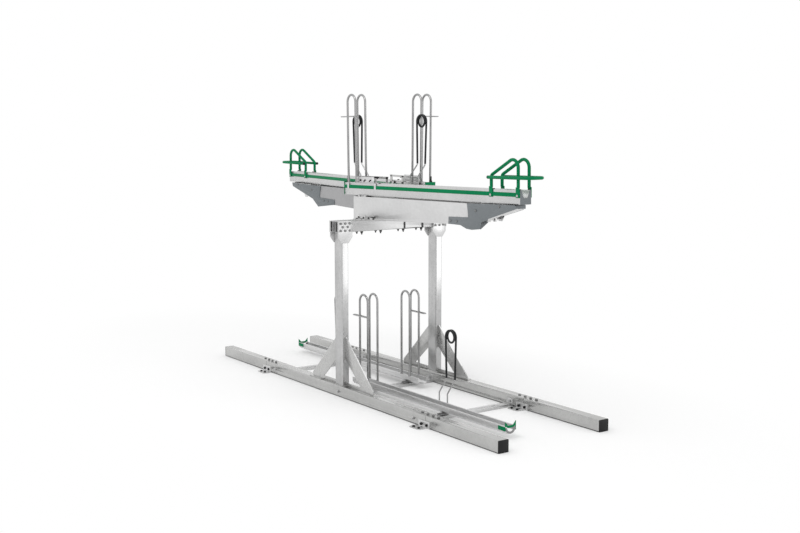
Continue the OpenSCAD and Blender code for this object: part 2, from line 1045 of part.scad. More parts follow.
module strut_rod() {
    reach = -lug_y - strut_out - eye_r;
    rod = reach + strut_grip;
    color("silver")
        translate([-tray_offset, 0, strut_z])
            difference() {
                union() {
                    translate([0, lug_y + eye_r + rod / 2 - weld, 0])
                        rod_y(rod_r, rod);
                    translate([-eye_t / 2, lug_y - eye_r, -eye_r])
                        cube([eye_t, 2 * eye_r, 2 * eye_r]);
                }
                translate([-eye_t / 2 - cut, lug_y - lug_r - slip, -lug_r - slip - lug_sag])
                    cube([eye_t + 2 * cut, 2 * (lug_r + slip), 2 * (lug_r + slip) + lug_sag]);
            }
}

module strut_rod_left() {
    strut_rod();
}

module strut_rod_right() {
    rotate([0, 0, 180])
        strut_rod();
}

// Tipping cradle under each tray, with its strut lug and roller axle

module cradle() {
    plate_x = cradle_half - cradle_t / 2;
    outline = [
        [-cradle_in, tray_under(-cradle_in) - 2 * cradle_t],
        [-cradle_in, beam_top + cradle_step_h],
        [-cradle_heel_in, beam_top + cradle_heel_h], [-cradle_heel_out, beam_top + cradle_heel_h],
        [-cradle_knee_y, beam_top + cradle_knee_h],
        [-cradle_out, beam_top + cradle_tip_h], [-cradle_out, tray_under(-cradle_out) - 2 * cradle_t]
    ];
    web = [
        [-cradle_knee_y, beam_top + cradle_knee_h],
        [-cradle_out, beam_top + cradle_tip_h], [-cradle_out, beam_top + cradle_tip_h + cradle_t],
        [-cradle_knee_y, beam_top + cradle_knee_h + cradle_t]
    ];
    color("silver")
        translate([-tray_offset, 0, 0])
            difference() {
                union() {
                    for (side = [-1, 1])
                        side_plate(outline, side * plate_x, cradle_t);
                    side_plate(web, 0, 2 * cradle_half - cradle_t);
                    translate([0, lug_y, lug_z])
                        rod_x(lug_r, 2 * plate_x);
                    translate([0, -nose_roller_y, nose_roller_z])
                        rod_x(axle_r, 2 * plate_x);
                }
                translate([0, -pivot_y, pivot_z])
                    rod_x(pivot_r + running, 2 * cradle_half + 2 * cut);
            }
}

module cradle_left() {
    cradle();
}

module cradle_right() {
    rotate([0, 0, 180])
        cradle();
}

// Dark lip across the outer end of a cradle
module cradle_lip() {
    color("dimgray")
        translate([-tray_offset - cradle_half, -cradle_out - lip_t, beam_top + cradle_tip_h])
            cube([2 * cradle_half, lip_t, lip_h]);
}

module cradle_lip_left() {
    cradle_lip();
}

module cradle_lip_right() {
    rotate([0, 0, 180])
        cradle_lip();
}

module nose_roller() {
    width = 2 * (cradle_half - cradle_t) - 2 * slip;
    color("dimgray")
        translate([-tray_offset, -nose_roller_y, nose_roller_z])
            difference() {
                rod_x(nose_roller_r, width);
                rod_x(axle_r + running, width + 2 * cut);
            }
}

module nose_roller_left() {
    nose_roller();
}

module nose_roller_right() {
    rotate([0, 0, 180])
        nose_roller();
}

// Upper trays

module tray_section() {
    half = tray_w / 2;
    deep = tray_h - groove_depth;
    difference() {
        polygon([
            [-half, 0], [half, 0], [half, tray_h], [groove_top / 2, tray_h],
            [groove_floor / 2, deep], [-groove_floor / 2, deep],
            [-groove_top / 2, tray_h], [-half, tray_h]
        ]);
        polygon([
            [-half + tray_wall, tray_wall], [half - tray_wall, tray_wall],
            [half - tray_wall, tray_h - tray_wall], [groove_top / 2 + tray_wall, tray_h - tray_wall],
            [groove_floor / 2 + tray_wall, deep - tray_wall], [-groove_floor / 2 - tray_wall, deep - tray_wall],
            [-groove_top / 2 - tray_wall, tray_h - tray_wall], [-half + tray_wall, tray_h - tray_wall]
        ]);
    }
}

// Solid outline of the tray section, for its outer end plate
module tray_end_section() {
    half = tray_w / 2;
    deep = tray_h - groove_depth;
    polygon([
        [-half, 0], [half, 0], [half, tray_h], [groove_top / 2, tray_h],
        [groove_floor / 2, deep], [-groove_floor / 2, deep],
        [-groove_top / 2, tray_h], [-half, tray_h]
    ]);
}

module upper_tray() {
    fork_x = tray_roller_w / 2 + slip + tray_wall / 2;
    fork_h = roller_drop + axle_r + tray_wall;
    color("gainsboro")
        in_tray() {
            translate([0, tray_in, 0])
                rotate([90, 0, 0])
                    linear_extrude(height = tray_length)
                        tray_section();
            translate([0, -tray_out + tray_wall, 0])
                rotate([90, 0, 0])
                    linear_extrude(height = tray_wall)
                        tray_end_section();
            for (side = [-1, 1])
                translate([side * (fork_x + fork_gap) - tray_wall / 2, tray_roller_y - tray_roller_r, -fork_h])
                    cube([tray_wall, 2 * tray_roller_r, fork_h + tray_wall / 2]);
            translate([0, tray_roller_y, -roller_drop])
                rod_x(axle_r, 2 * (carrier_w / 2 - carrier_wall - 2 * slip - slip));
        }
}

module upper_tray_left() {
    upper_tray();
}

module upper_tray_right() {
    rotate([0, 0, 180])
        upper_tray();
}

// A pair of wheels on one tube that runs on the ledges
module tray_roller() {
    outer = carrier_w / 2 - carrier_wall - 2 * slip;
    color("dimgray")
        in_tray()
            translate([0, tray_roller_y, -roller_drop])
                for (side = [-1, 1])
                    translate([side * (outer - tray_roller_w / 2), 0, 0])
                        difference() {
                            rod_x(tray_roller_r, tray_roller_w);
                            rod_x(axle_r + running, tray_roller_w + 2 * cut);
                        }
}

module tray_roller_left() {
    tray_roller();
}

module tray_roller_right() {
    rotate([0, 0, 180])
        tray_roller();
}

// Green side strips, joined by the piece that closes the inner end
module tray_strips() {
    half = tray_w / 2;
    color("seagreen")
        in_tray() {
            for (x = [-half - strip_t, half])
                translate([x, -tray_out, strip_low])
                    cube([strip_t, tray_length, strip_h]);
            translate([-half - strip_t, tray_in, 0])
                cube([tray_w + 2 * strip_t, strip_t, tray_h + end_over]);
        }
}

module tray_strips_left() {
    tray_strips();
}

module tray_strips_right() {
    rotate([0, 0, 180])
        tray_strips();
}

// Wheel base: a light plate on each rim with a raised wall and hooked tabs
module wheel_base() {
    half = tray_w / 2;
    rim_w = half - groove_top / 2 + strip_t + base_t;
    color("lightgray")
        in_tray()
            for (side = [-1, 1])
                scale([side, 1, 1]) {
                    translate([groove_top / 2, -base_out, tray_h])
                        cube([rim_w, base_in + base_out, base_t]);
                    translate([groove_top / 2, -base_wall_out, tray_h])
                        cube([base_t, base_wall_in + base_wall_out, base_wall_h]);
                    for (y = [base_in - tab_w, -base_out])
                        translate([half + strip_t, y, tray_h - tab_drop])
                            cube([base_t, tab_w, tab_drop + base_t]);
                    if (side > 0)
                        for (y = upper_feet)
                            clamp_seat(half + strip_t, y);
                }
}

// Tab and shelf under one foot of a clamp, on the outside of the tray
module clamp_seat(x, y) {
    translate([x, y - tab_w / 2, upper_foot_z - base_t])
        cube([upper_mid_x + clamp_stance + clamp_wire / 2 - x, tab_w, base_t]);
    translate([x, y - tab_w / 2, upper_foot_z - base_t])
        cube([base_t, tab_w, tray_h + 2 * base_t - upper_foot_z]);
}

module wheel_base_left() {
    wheel_base();
}

module wheel_base_right() {
    rotate([0, 0, 180])
        wheel_base();
}

// Wheel hoops

// An upright hoop between two places along Y, from low to high
module hoop(near, far, low, high) {
    radius = (far - near) / 2;
    top = high - hoop_r;
    upright()
        bent_tube([[near, low], [near, top], [far, top], [far, low]],
            [radius - weld / 10, radius - weld / 10], hoop_r);
}

// A level hairpin round the legs of a hoop, closed beyond the far leg
module lock_loop(near, far, high) {
    side = hoop_r + lock_r - weld;
    tip = far + lock_reach;
    translate([0, 0, high])
        bent_tube([[-side, near - lock_start], [-side, tip], [side, tip], [side, near - lock_start]],
            [side - weld / 10, side - weld / 10], lock_r);
}

module upper_hoops() {
    low = tray_h + base_t;
    color("silver")
        in_tray() {
            for (side = [-1, 1])
                translate([side * hoop_half, 0, 0])
                    hoop(hoop_near, hoop_far, low, upper_hoop_h);
            translate([-hoop_half, 0, 0])
                lock_loop(hoop_near, hoop_far, upper_lock_h);
        }
}

module upper_hoops_left() {
    upper_hoops();
}

module upper_hoops_right() {
    rotate([0, 0, 180])
        upper_hoops();
}

module lower_hoops() {
    color("silver")
        both()
            translate([-tray_offset, 0, 0]) {
                for (side = [-1, 1])
                    translate([side * hoop_half, 0, 0])
                        hoop(lower_hoop_near, lower_hoop_far, lower_tray_top, lower_hoop_h);
                translate([-hoop_half, 0, 0])
                    lock_loop(lower_hoop_near, lower_hoop_far, lower_lock_z);
            }
}

// Spring clamps: one wire from foot to foot, with its curls at the top

// Points of a clamp: foot, knee, shin and coil, each as [x, y, z]
function clamp_path(feet, knee_h, shift, shin_h, coil_h, mid_x) = let (
    mid = (feet[0] + feet[1]) / 2 + shift,
    r = clamp_coil / 2,
    steps = curl_turns * curl_rings,
    wide = curl_turns * curl_pitch,
    first_x = mid_x + clamp_stance,
    last_x = mid_x - clamp_stance
) concat(
    [[first_x, feet[0], 0], [first_x, feet[0], knee_h], [first_x, mid - r, shin_h]],
    [for (i = [0:steps]) let (a = 180 - i * 360 / curl_rings)
        [mid_x + wide / 2 - wide * i / steps, mid + r * cos(a), coil_h + r * sin(a)]],
    [[last_x, mid + r, shin_h], [last_x, feet[1], knee_h], [last_x, feet[1], 0]]
);

// Points of a bent route, its bends as arcs in steps of about bend_step degrees
function bent_route(points, radii) = [for (i = [0:len(points) - 1])
    each (i == 0 || i == len(points) - 1) ? [points[i]] : let (
        turn = turn_of(points[i - 1], points[i], points[i + 1]),
        course = heading(points[i - 1], points[i]),
        hand = turn > 0 ? 1 : -1,
        start = points[i] - bend_take(points, radii, i) * [cos(course), sin(course)],
        square = course + hand * 90,
        centre = start + radii[i - 1] * [cos(square), sin(square)],
        steps = ceil(abs(turn) / bend_step)
    ) [for (k = [0:steps]) let (a = square + 180 + turn * k / steps)
        centre + radii[i - 1] * [cos(a), sin(a)]]];

function unit(v) = v / norm(v);

// Direction of the wire at a point of its path
function along(path, i) = i == 0 ? unit(path[1] - path[0])
    : i == len(path) - 1 ? unit(path[i] - path[i - 1])
    : unit(unit(path[i] - path[i - 1]) + unit(path[i + 1] - path[i]));

// Ring of points square to the wire, kept level with the X axis
function ring_at(path, i, r, sides) = let (
    w = along(path, i),
    a = unit([1, 0, 0] - w * w[0]),
    b = cross(w, a)
) [for (k = [0:sides - 1]) path[i] + r * (a * cos(360 * k / sides) + b * sin(360 * k / sides))];

// A tube swept along a path, with one radius for each of its points
module swept_tube(path, radii, sides) {
    count = len(path);
    points = [for (i = [0:count - 1]) each ring_at(path, i, radii[i], sides)];
    skin = [for (i = [0:count - 2], k = [0:sides - 1]) let (
        a = i * sides + k,
        b = i * sides + (k + 1) % sides
    ) each [[a, b + sides, b], [a, a + sides, b + sides]]];
    first = [for (k = [1:sides - 2]) [0, k, k + 1]];
    base = (count - 1) * sides;
    last = [for (k = [1:sides - 2]) [base, base + k + 1, base + k]];
    polyhedron(points = points, faces = concat(skin, first, last));
}

// Least gap of a wire to itself, between rings more than half a turn apart
function self_gap(path) = min([for (i = [2:len(path) - 3], j = [i + 4:1:len(path) - 3])
    norm(path[i] - path[j]) - clamp_coat]);

function clamp_radii(path) = [for (i = [0:len(path) - 1])
    (i < 2 || i > len(path) - 3) ? clamp_wire / 2 : clamp_coat / 2];

upper_path = clamp_path(upper_feet, upper_knee_h, upper_shift, upper_shin_h, upper_coil_h, upper_mid_x);
lower_path = clamp_path(lower_feet, lower_knee_h, lower_shift, lower_shin_h, lower_coil_h, lower_mid_x);
echo(upper_clamp_gap = self_gap(upper_path), lower_clamp_gap = self_gap(lower_path));

module upper_clamp() {
    color("dimgray")
        in_tray()
            translate([0, 0, upper_foot_z])
                swept_tube(upper_path, clamp_radii(upper_path), wire_sides);
}

module upper_clamp_left() {
    upper_clamp();
}

module upper_clamp_right() {
    rotate([0, 0, 180])
        upper_clamp();
}

module lower_clamps() {
    color("dimgray")
        both()
            translate([-tray_offset, 0, lower_foot_z])
                swept_tube(lower_path, clamp_radii(lower_path), wire_sides);
}

// Handles

module handle() {
    half = tray_w / 2 + strip_t;
    corners = [
        [-handle_in, handle_foot], [-handle_in, handle_knee],
        [-handle_out, handle_crown], [-handle_out, handle_foot]
    ];
    hoop_path = [for (p = bent_route(corners, [handle_knee_r, handle_crown_r])) [0, p[0], p[1]]];
    color("seagreen")
        in_tray() {
            for (side = [-1, 1]) {
                translate([side * handle_half, 0, 0])
                    swept_tube(hoop_path, [for (p = hoop_path) handle_r], handle_sides);
                for (y = [handle_in, handle_out]) {
                    translate([side * (handle_half + loop_half) / 2, -y, loop_weld_z])
                        rod_x(loop_weld_r, loop_half - handle_half);
                    translate([side * (half + lug_t / 2), -y, 0])
                        handle_lug();
                }
            }
            translate([0, 0, loop_z])
                bent_tube([
                    [-loop_half, -loop_in], [-loop_half, -loop_out],
                    [loop_half, -loop_out], [loop_half, -loop_in]
                ], [loop_round, loop_round], handle_r);
        }
}

// Flat lug under a handle leg, bored for its bolt
module handle_lug() {
    difference() {
        translate([-lug_t / 2, -lug_w / 2, handle_foot - lug_drop])
            cube([lug_t, lug_w, lug_drop + lug_lap]);
        translate([0, 0, handle_foot - lug_drop + strip_h / 2])
            rod_x(small_r + bolt_play, lug_t + 2 * cut);
    }
}

module handle_left() {
    handle();
}

module handle_right() {
    rotate([0, 0, 180])
        handle();
}

// Black plugs in the open ends of the loop and the black bolts of the brackets
module handle_plugs() {
    half = tray_w / 2 + strip_t + lug_t;
    color("black")
        in_tray()
            for (side = [-1, 1])
                scale([side, 1, 1]) {
                    translate([loop_half, -loop_in + plug_t / 2, loop_z])
                        rod_y(handle_r, plug_t);
                    for (y = [handle_in, handle_out])
                        translate([half, -y, handle_foot - lug_drop + strip_h / 2])
                            rotate([0, 90, 0])
                                bolt(small_r, small_head_r, plug_head_h, lug_t);
                }
}

module handle_plugs_left() {
    handle_plugs();
}

module handle_plugs_right() {
    rotate([0, 0, 180])
        handle_plugs();
}

// Lower trays

module lower_section() {
    half = lower_tray_w / 2;
    foot = lower_floor_w / 2;
    outer = [
        [-half, lower_tray_top], [-half, lower_shoulder], [-foot, lower_floor],
        [foot, lower_floor], [half, lower_shoulder], [half, lower_tray_top]
    ];
    lip = [
        [half - lower_lip, lower_tray_top], [half - lower_lip, lower_tray_top - lower_wall],
        [half - lower_wall, lower_tray_top - lower_wall],
        [half - lower_wall, lower_shoulder + lower_wall / 2]
    ];
    inner = concat(lip, [[foot - lower_wall / 2, lower_floor + lower_wall]]);
    mirrored = [for (i = [len(inner) - 1:-1:0]) [-inner[i][0], inner[i][1]]];
    polygon(concat(outer, inner, mirrored));
}

module lower_trays() {
    color("gainsboro")
        both()
            translate([-tray_offset, lower_in, 0])
                rotate([90, 0, 0])
                    linear_extrude(height = lower_tray_length)
                        lower_section();
    color("gainsboro")
        both()
            for (y = lower_feet)
                translate([-tray_offset + lower_tray_w / 2, y - tab_w / 2, lower_foot_z - base_t])
                    cube([lower_mid_x + clamp_stance + clamp_wire / 2 - lower_tray_w / 2, tab_w, base_t]);
}

// Green guides with two horns at the loading end of each lower tray
module lower_tray_guides() {
    half = lower_tray_w / 2;
    high = lower_tray_top + guide_h;
    outline = [
        [-half - guide_t, high], [-half - guide_t, lower_shoulder + guide_t],
        [-half, lower_shoulder + guide_t], [-half, lower_tray_top],
        [-half + guide_horn, lower_tray_top - guide_dip / 2], [half - guide_horn, lower_tray_top - guide_dip / 2],
        [half, lower_tray_top], [half, lower_shoulder + guide_t],
        [half + guide_t, lower_shoulder + guide_t], [half + guide_t, high],
        [half - guide_horn, lower_tray_top + guide_t], [-half + guide_horn, lower_tray_top + guide_t]
    ];
    color("seagreen")
        both()
            translate([-tray_offset, -lower_out, 0]) {
                rotate([90, 0, 0])
                    linear_extrude(height = guide_t)
                        polygon(outline);
                for (side = [-1, 1])
                    scale([side, 1, 1])
                        translate([half, -guide_t, lower_shoulder + guide_t])
                            cube([guide_t, guide_length + guide_t, lower_tray_top - lower_shoulder - 2 * guide_t]);
            }
}

// Straps and bolts that hold the lower trays on the cross bars
module lower_tray_bolts() {
    strap_t = lower_floor - bar_top;
    color("silver")
        both()
            translate([-tray_offset, 0, 0])
                for (y = [-bar_y, 0]) {
                    translate([tray_bolt_xs[0] - small_head_r, y - bar_w / 4, bar_top])
                        cube([tray_bolt_xs[1] - tray_bolt_xs[0] + 2 * small_head_r, bar_w / 2, strap_t]);
                    for (x = tray_bolt_xs)
                        translate([x, y, bar_top + strap_t])
                            bolt(small_r, small_head_r, small_head_h, strap_t + bar_wall);
                }
}

rail_left_centre();
rail_right_centre();
rail_extensions();
rail_end_caps();
splice_sleeves();
splice_bolts();
cross_bar_front();
cross_bar_middle();
cross_bar_rear();
cross_bar_bolts();
foot_brackets();
foot_bracket_bolts();
floor_anchors();
column_left();
column_right();
column_braces();
head_plates();
head_bolts();
cross_beam_front();
cross_beam_rear();
beam_saddles();
carrier_left();
carrier_right();
carrier_feet();
carrier_bolts();
nose_cover_left();
nose_cover_right();
nose_screws();
nose_pins();
strut_cylinders();
strut_rod_left();
strut_rod_right();
cradle_left();
cradle_right();
cradle_lip_left();
cradle_lip_right();
nose_roller_left();
nose_roller_right();
upper_tray_left();
upper_tray_right();
tray_strips_left();
tray_strips_right();
tray_roller_left();
tray_roller_right();
wheel_base_left();
wheel_base_right();
upper_hoops_left();
upper_hoops_right();
upper_clamp_left();
upper_clamp_right();
handle_left();
handle_right();
handle_plugs_left();
handle_plugs_right();
lower_trays();
lower_tray_guides();
lower_hoops();
lower_clamps();
lower_tray_bolts();
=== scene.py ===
"""Finishes and fine pieces of the two tier bike rack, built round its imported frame.

Every mesh is in metres in the frame's own coordinates: +Z is up, the rails lie
along Y and the origin is on the floor. Sizes are written in millimetres. Pieces
are modelled for the left side, the one at negative X, and turned half a turn
about Z for the right side.
"""
import json
import logging
import math
from dataclasses import dataclass
from enum import Enum
from functools import cache
from typing import Iterable, Sequence, Union

import bmesh
import bpy
from bmesh.types import BMEdge, BMesh, BMVert
from bpy.types import Material, Node, NodeSocket, NodeTree, Object
from mathutils import Matrix, Vector

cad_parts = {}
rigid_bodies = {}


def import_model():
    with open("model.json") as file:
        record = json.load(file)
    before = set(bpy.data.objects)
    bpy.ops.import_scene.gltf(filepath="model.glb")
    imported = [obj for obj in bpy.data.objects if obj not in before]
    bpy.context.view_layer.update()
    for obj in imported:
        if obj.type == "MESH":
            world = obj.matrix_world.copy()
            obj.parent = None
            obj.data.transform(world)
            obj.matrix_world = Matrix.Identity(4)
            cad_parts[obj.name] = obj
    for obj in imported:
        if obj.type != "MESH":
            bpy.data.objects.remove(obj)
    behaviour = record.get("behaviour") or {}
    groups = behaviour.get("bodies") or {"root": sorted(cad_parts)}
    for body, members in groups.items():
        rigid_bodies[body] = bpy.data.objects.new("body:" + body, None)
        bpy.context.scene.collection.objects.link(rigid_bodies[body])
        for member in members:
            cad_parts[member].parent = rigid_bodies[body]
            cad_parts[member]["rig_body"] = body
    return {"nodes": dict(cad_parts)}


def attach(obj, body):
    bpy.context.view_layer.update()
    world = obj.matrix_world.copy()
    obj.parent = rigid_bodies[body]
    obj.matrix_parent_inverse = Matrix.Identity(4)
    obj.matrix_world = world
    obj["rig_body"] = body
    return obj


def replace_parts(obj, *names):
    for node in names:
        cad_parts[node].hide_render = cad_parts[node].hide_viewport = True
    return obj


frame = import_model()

LOG = logging.getLogger("bike_rack")
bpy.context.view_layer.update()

MM = 1000.0              # millimetres in a metre
MERGE = 1e-5             # distance in metres within which a node's corners are one
FLAT_ANGLE = 0.6         # faces that differ by less, in degrees, are one
SHARP_ANGLE = 30.0       # a node's edges sharper than this are softened
RIM_ANGLE = 50.0         # a fastener's edges sharper than this are softened
SHELL_SMOOTH = 32.0      # edges of a node's copy below this are shaded smooth
PIECE_SMOOTH = 35.0      # edges of a new piece below this are shaded smooth
NODE_EDGE = 1.2          # width of a node's softened edges
PLATE_EDGE = 0.8         # width of a new plate's softened edges
BEND_SLACK = 0.1         # keeps the two bends of a hoop from meeting in one point
BEND_STEP = 7.5          # degrees between two points of a tube's bend
WIRE_STEP = 15.0         # the same for a thin wire
LEG_STEP = 10.0          # the same for a clamp's legs
TUBE_SIDES = 20          # facets round a tube or a round head
ROD_SIDES = 12           # facets round a rod
BEAD_SIDES = 8           # facets round a weld bead
NUT_SIDES = 6            # sides of a nut
FLOOR_SHADE_FULL = 0.6          # share of the painted floor shade's height up to which it is fully dark

Colour = tuple[float, float, float]
Place = tuple[float, float, float]
Span = tuple[float, float]
Feed = Union[NodeSocket, float, Sequence[float]]


class Side(Enum):
    """The two sides of the rack, each with its turn about Z in degrees."""

    LEFT = 0.0
    RIGHT = 180.0

    @property
    def label(self) -> str:
        """Name of the side as the frame's nodes end with it."""
        return self.name.lower()

    @property
    def turn(self) -> Matrix:
        """Turn that takes a piece from the left side to this one."""
        return Matrix.Rotation(math.radians(self.value), 4, "Z")


# Shader nodes


def grey(level: float) -> Colour:
    """A grey of a level from 0 to 1."""
    return (level, level, level)


def opaque(colour: Sequence[float]) -> tuple[float, ...]:
    """A colour with full cover."""
    return (*colour, 1.0)


class Graph:
    """A tree of shader nodes with a short way to add nodes that are already fed."""

    def __init__(self, tree: NodeTree) -> None:
        """Takes the tree."""
        self.tree = tree

    def add(self, kind: str, feeds: dict[Union[int, str], Feed], **settings: object) -> Node:
        """Adds a node, sets its properties and feeds its inputs.

        Args:
            kind: Node type without its ShaderNode prefix.
            feeds: A value or another node's socket for each input, by number or name.
            settings: Properties of the node.

        Returns:
            The new node.
        """
        node = self.tree.nodes.new("ShaderNode" + kind)
        for key, value in settings.items():
            setattr(node, key, value)
        for key, value in feeds.items():
            if isinstance(value, NodeSocket):
                self.tree.links.new(value, node.inputs[key])
            else:
                node.inputs[key].default_value = value
        return node


class Group(Graph):
    """A shared node group: a place and one more input go in, and one value comes out."""

    def __init__(self, name: str, extra: str, kind: str) -> None:
        """Starts a group.

        Args:
            name: Name of the group in plain words.
            extra: Name of its second input.
            kind: Socket type of that input without its NodeSocket prefix.
        """
        super().__init__(bpy.data.node_groups.new(name, "ShaderNodeTree"))
        rows = (("Vector", "INPUT", "Vector"), (extra, "INPUT", kind), ("Value", "OUTPUT", "Float"))
        for label, way, sort in rows:
            self.tree.interface.new_socket(label, in_out=way, socket_type="NodeSocket" + sort)
        inlet = self.tree.nodes.new("NodeGroupInput")
        self.place = inlet.outputs["Vector"]
        self.extra = inlet.outputs[extra]

    def noise(self, place: NodeSocket, scale: Feed, detail: float) -> Node:
        """Adds a noise texture with its features per metre and its finer octaves."""
        return self.add("TexNoise", {"Vector": place, "Scale": scale, "Detail": detail})

    def give(self, value: NodeSocket) -> NodeTree:
        """Makes a socket the group's result.

        Args:
            value: The socket.

        Returns:
            The finished group.
        """
        outlet = self.tree.nodes.new("NodeGroupOutput")
        self.tree.links.new(value, outlet.inputs["Value"])
        return self.tree


@cache
def cloud_group() -> NodeTree:
    """Soft cloudy variation of a zinc surface.

    Returns:
        A group that gives a value from 0 to 1.
    """
    fine_share, low, high = 0.35, 0.3, 0.7
    group = Group("zinc cloud", "Strength", "Float")
    broad = group.noise(group.place, scale=3.5, detail=3.0).outputs["Fac"]
    fine = group.noise(group.place, scale=38.0, detail=4.0).outputs["Fac"]
    both = group.add("Mix", {0: fine_share, 2: broad, 3: fine}, data_type="FLOAT").outputs[0]
    centred = group.add("MapRange", {"From Min": low, "From Max": high, "Value": both})
    scaled = group.add("Math", {0: centred.outputs["Result"], 1: group.extra}, operation="MULTIPLY")
    return group.give(scaled.outputs[0])


@cache
def spangle_group() -> NodeTree:
    """Crystal pattern of hot dip zinc: flat cells a few millimetres across.

    Returns:
        A group that gives each cell a value of its own.
    """
    warp = (0.012, 0.012, 0.012)
    group = Group("zinc spangle", "Scale", "Float")
    noise = group.noise(group.place, scale=30.0, detail=2.0).outputs["Color"]
    bent = group.add("VectorMath", {0: noise, 1: warp, 2: group.place}, operation="MULTIPLY_ADD")
    cells = group.add("TexVoronoi", {"Vector": bent.outputs[0], "Scale": group.extra})
    return group.give(group.add("SeparateColor", {"Color": cells.outputs["Color"]}).outputs[0])


@cache
def grain_group() -> NodeTree:
    """Fine lines of rolled or drawn metal, stretched along one axis.

    Returns:
        A group that gives the height of the lines.
    """
    group = Group("rolled grain", "Stretch", "Vector")
    squeezed = group.add("VectorMath", {0: group.place, 1: group.extra}, operation="MULTIPLY")
    return group.give(group.noise(squeezed.outputs[0], scale=1.0, detail=4.0).outputs["Fac"])


@cache
def peel_group() -> NodeTree:
    """Orange peel of powder coat and the speckle of moulded plastic."""
    group = Group("orange peel", "Scale", "Float")
    return group.give(group.noise(group.place, group.extra, detail=2.0).outputs["Fac"])


class Recipe(Graph):
    """A material in the making: its shader, its coordinates and its mixes."""

    def __init__(self, name: str, metallic: float, roughness: float) -> None:
        """Starts a material with a Principled shader.

        Args:
            name: Name of the finish.
            metallic: 1 for bare metal, 0 for paint and plastic.
            roughness: Roughness where nothing varies it.
        """
        self.material = bpy.data.materials.new(name)
        self.material.use_nodes = True
        super().__init__(self.material.node_tree)
        self.shader = self.tree.nodes["Principled BSDF"]
        self.shader.inputs["Metallic"].default_value = metallic
        self.shader.inputs["Roughness"].default_value = roughness
        self.place = self.add("TexCoord", {}).outputs["Object"]

    def use(self, group: NodeTree, **feeds: Feed) -> NodeSocket:
        """Places a shared group on the object's own coordinates and gives its output."""
        return self.add("Group", {"Vector": self.place, **feeds}, node_tree=group).outputs[0]

    def ramp(self, value: NodeSocket, low: float, high: float) -> NodeSocket:
        """Maps a value from 0 and 1 to low and high."""
        node = self.add("MapRange", {"Value": value, "To Min": low, "To Max": high})
        return node.outputs["Result"]

    def blend(self, share: NodeSocket, first: Feed, second: Feed) -> NodeSocket:
        """Mixes two colours by the second one's share, from 0 to 1."""
        return self.add("Mix", {0: share, 6: first, 7: second}, data_type="RGBA").outputs[2]

    def plus(self, first: NodeSocket, second: NodeSocket, share: float) -> NodeSocket:
        """Adds a share of the second value to the first."""
        node = self.add("Math", {0: second, 1: share, 2: first}, operation="MULTIPLY_ADD")
        return node.outputs[0]

    def along(self, axis: int) -> NodeSocket:
        """The object's own coordinate along X, Y or Z, numbered from 0."""
        return self.add("SeparateXYZ", {0: self.place}).outputs[axis]

    def foot(self, colour: NodeSocket, low: float, high: float, tone: float) -> NodeSocket:
        """Paints contact shade into a colour: darkens it to a grey tone from a high place down to a
        low one, in metres.
        """
        reach = self.add("MapRange", {"Value": self.along(2), "From Min": low, "From Max": high})
        return self.blend(reach.outputs["Result"], opaque(grey(tone)), colour)

    def seam(self, colour: NodeSocket, place: float, half: float, tone: float) -> NodeSocket:
        """Draws a thin dark line across a colour at two equal places along Y.

        Args:
            colour: The colour.
            place: Distance of both lines from the middle in metres.
            half: Half the width of a line in metres.
            tone: Grey of the lines.

        Returns:
            The lined colour.
        """
        both = self.add("Math", {0: self.along(1)}, operation="ABSOLUTE").outputs[0]
        near = self.add("Math", {0: both, 1: place, 2: half}, operation="COMPARE").outputs[0]
        return self.blend(near, colour, opaque(grey(tone)))

    def feed(self, name: str, value: NodeSocket) -> None:
        """Feeds an input of the shader."""
        self.tree.links.new(value, self.shader.inputs[name])

    def bump(self, height: NodeSocket, depth: float, strength: float) -> None:
        """Feeds the shader a bump of a real depth in metres."""
        node = self.add("Bump", {"Distance": depth, "Strength": strength, "Height": height})
        self.feed("Normal", node.outputs["Normal"])


# Finishes


@dataclass(frozen=True)
class Zinc:
    """Galvanised or zinc plated steel."""

    name: str  # name of the finish
    dark: Colour  # colour of its darker crystals
    light: Colour  # colour of its lighter crystals
    rough_low: float  # roughness of the smoothest spots
    rough_high: float  # roughness of the roughest spots
    stretch: Place  # how tightly the rolled grain repeats along X, Y and Z, per metre
    spangle: float = 45.0  # crystals per metre
    streak: float = 0.0  # share of the grain in the colour
    foot: float = 0.0  # height in metres of the painted contact shade along the floor, or 0 for none
    seam: float = 0.0  # distance of two butt joints from the middle in metres, or 0 for none
    grain: float = 0.25  # strength of the rolled grain in the bump

    def make(self) -> Material:
        """Builds the metal's shader.

        Returns:
            The new material.
        """
        recipe = Recipe(self.name, 1.0, self.rough_low)
        cloud = recipe.use(cloud_group(), Strength=0.85)
        spangle = recipe.use(spangle_group(), Scale=self.spangle)
        grain = recipe.use(grain_group(), Stretch=self.stretch)
        tone = recipe.plus(cloud, spangle, share=0.15)
        if self.streak > 0:
            tone = recipe.plus(tone, recipe.ramp(grain, low=-1.0, high=1.0), self.streak)
        colour = recipe.blend(tone, opaque(self.dark), opaque(self.light))
        # painted shade: the metal darkens towards the floor to stand for the contact shadow along
        # its lower edge
        if self.foot > 0:
            full = self.foot * FLOOR_SHADE_FULL
            colour = recipe.foot(colour, low=full, high=self.foot, tone=0.06)
        if self.seam > 0:
            colour = recipe.seam(colour, self.seam, half=0.0016, tone=0.05)
        recipe.feed("Base Color", colour)
        rough = recipe.ramp(cloud, self.rough_low, self.rough_high)
        recipe.feed("Roughness", recipe.plus(rough, grain, share=0.08))
        recipe.bump(grain, depth=0.0004, strength=self.grain)
        return recipe.material


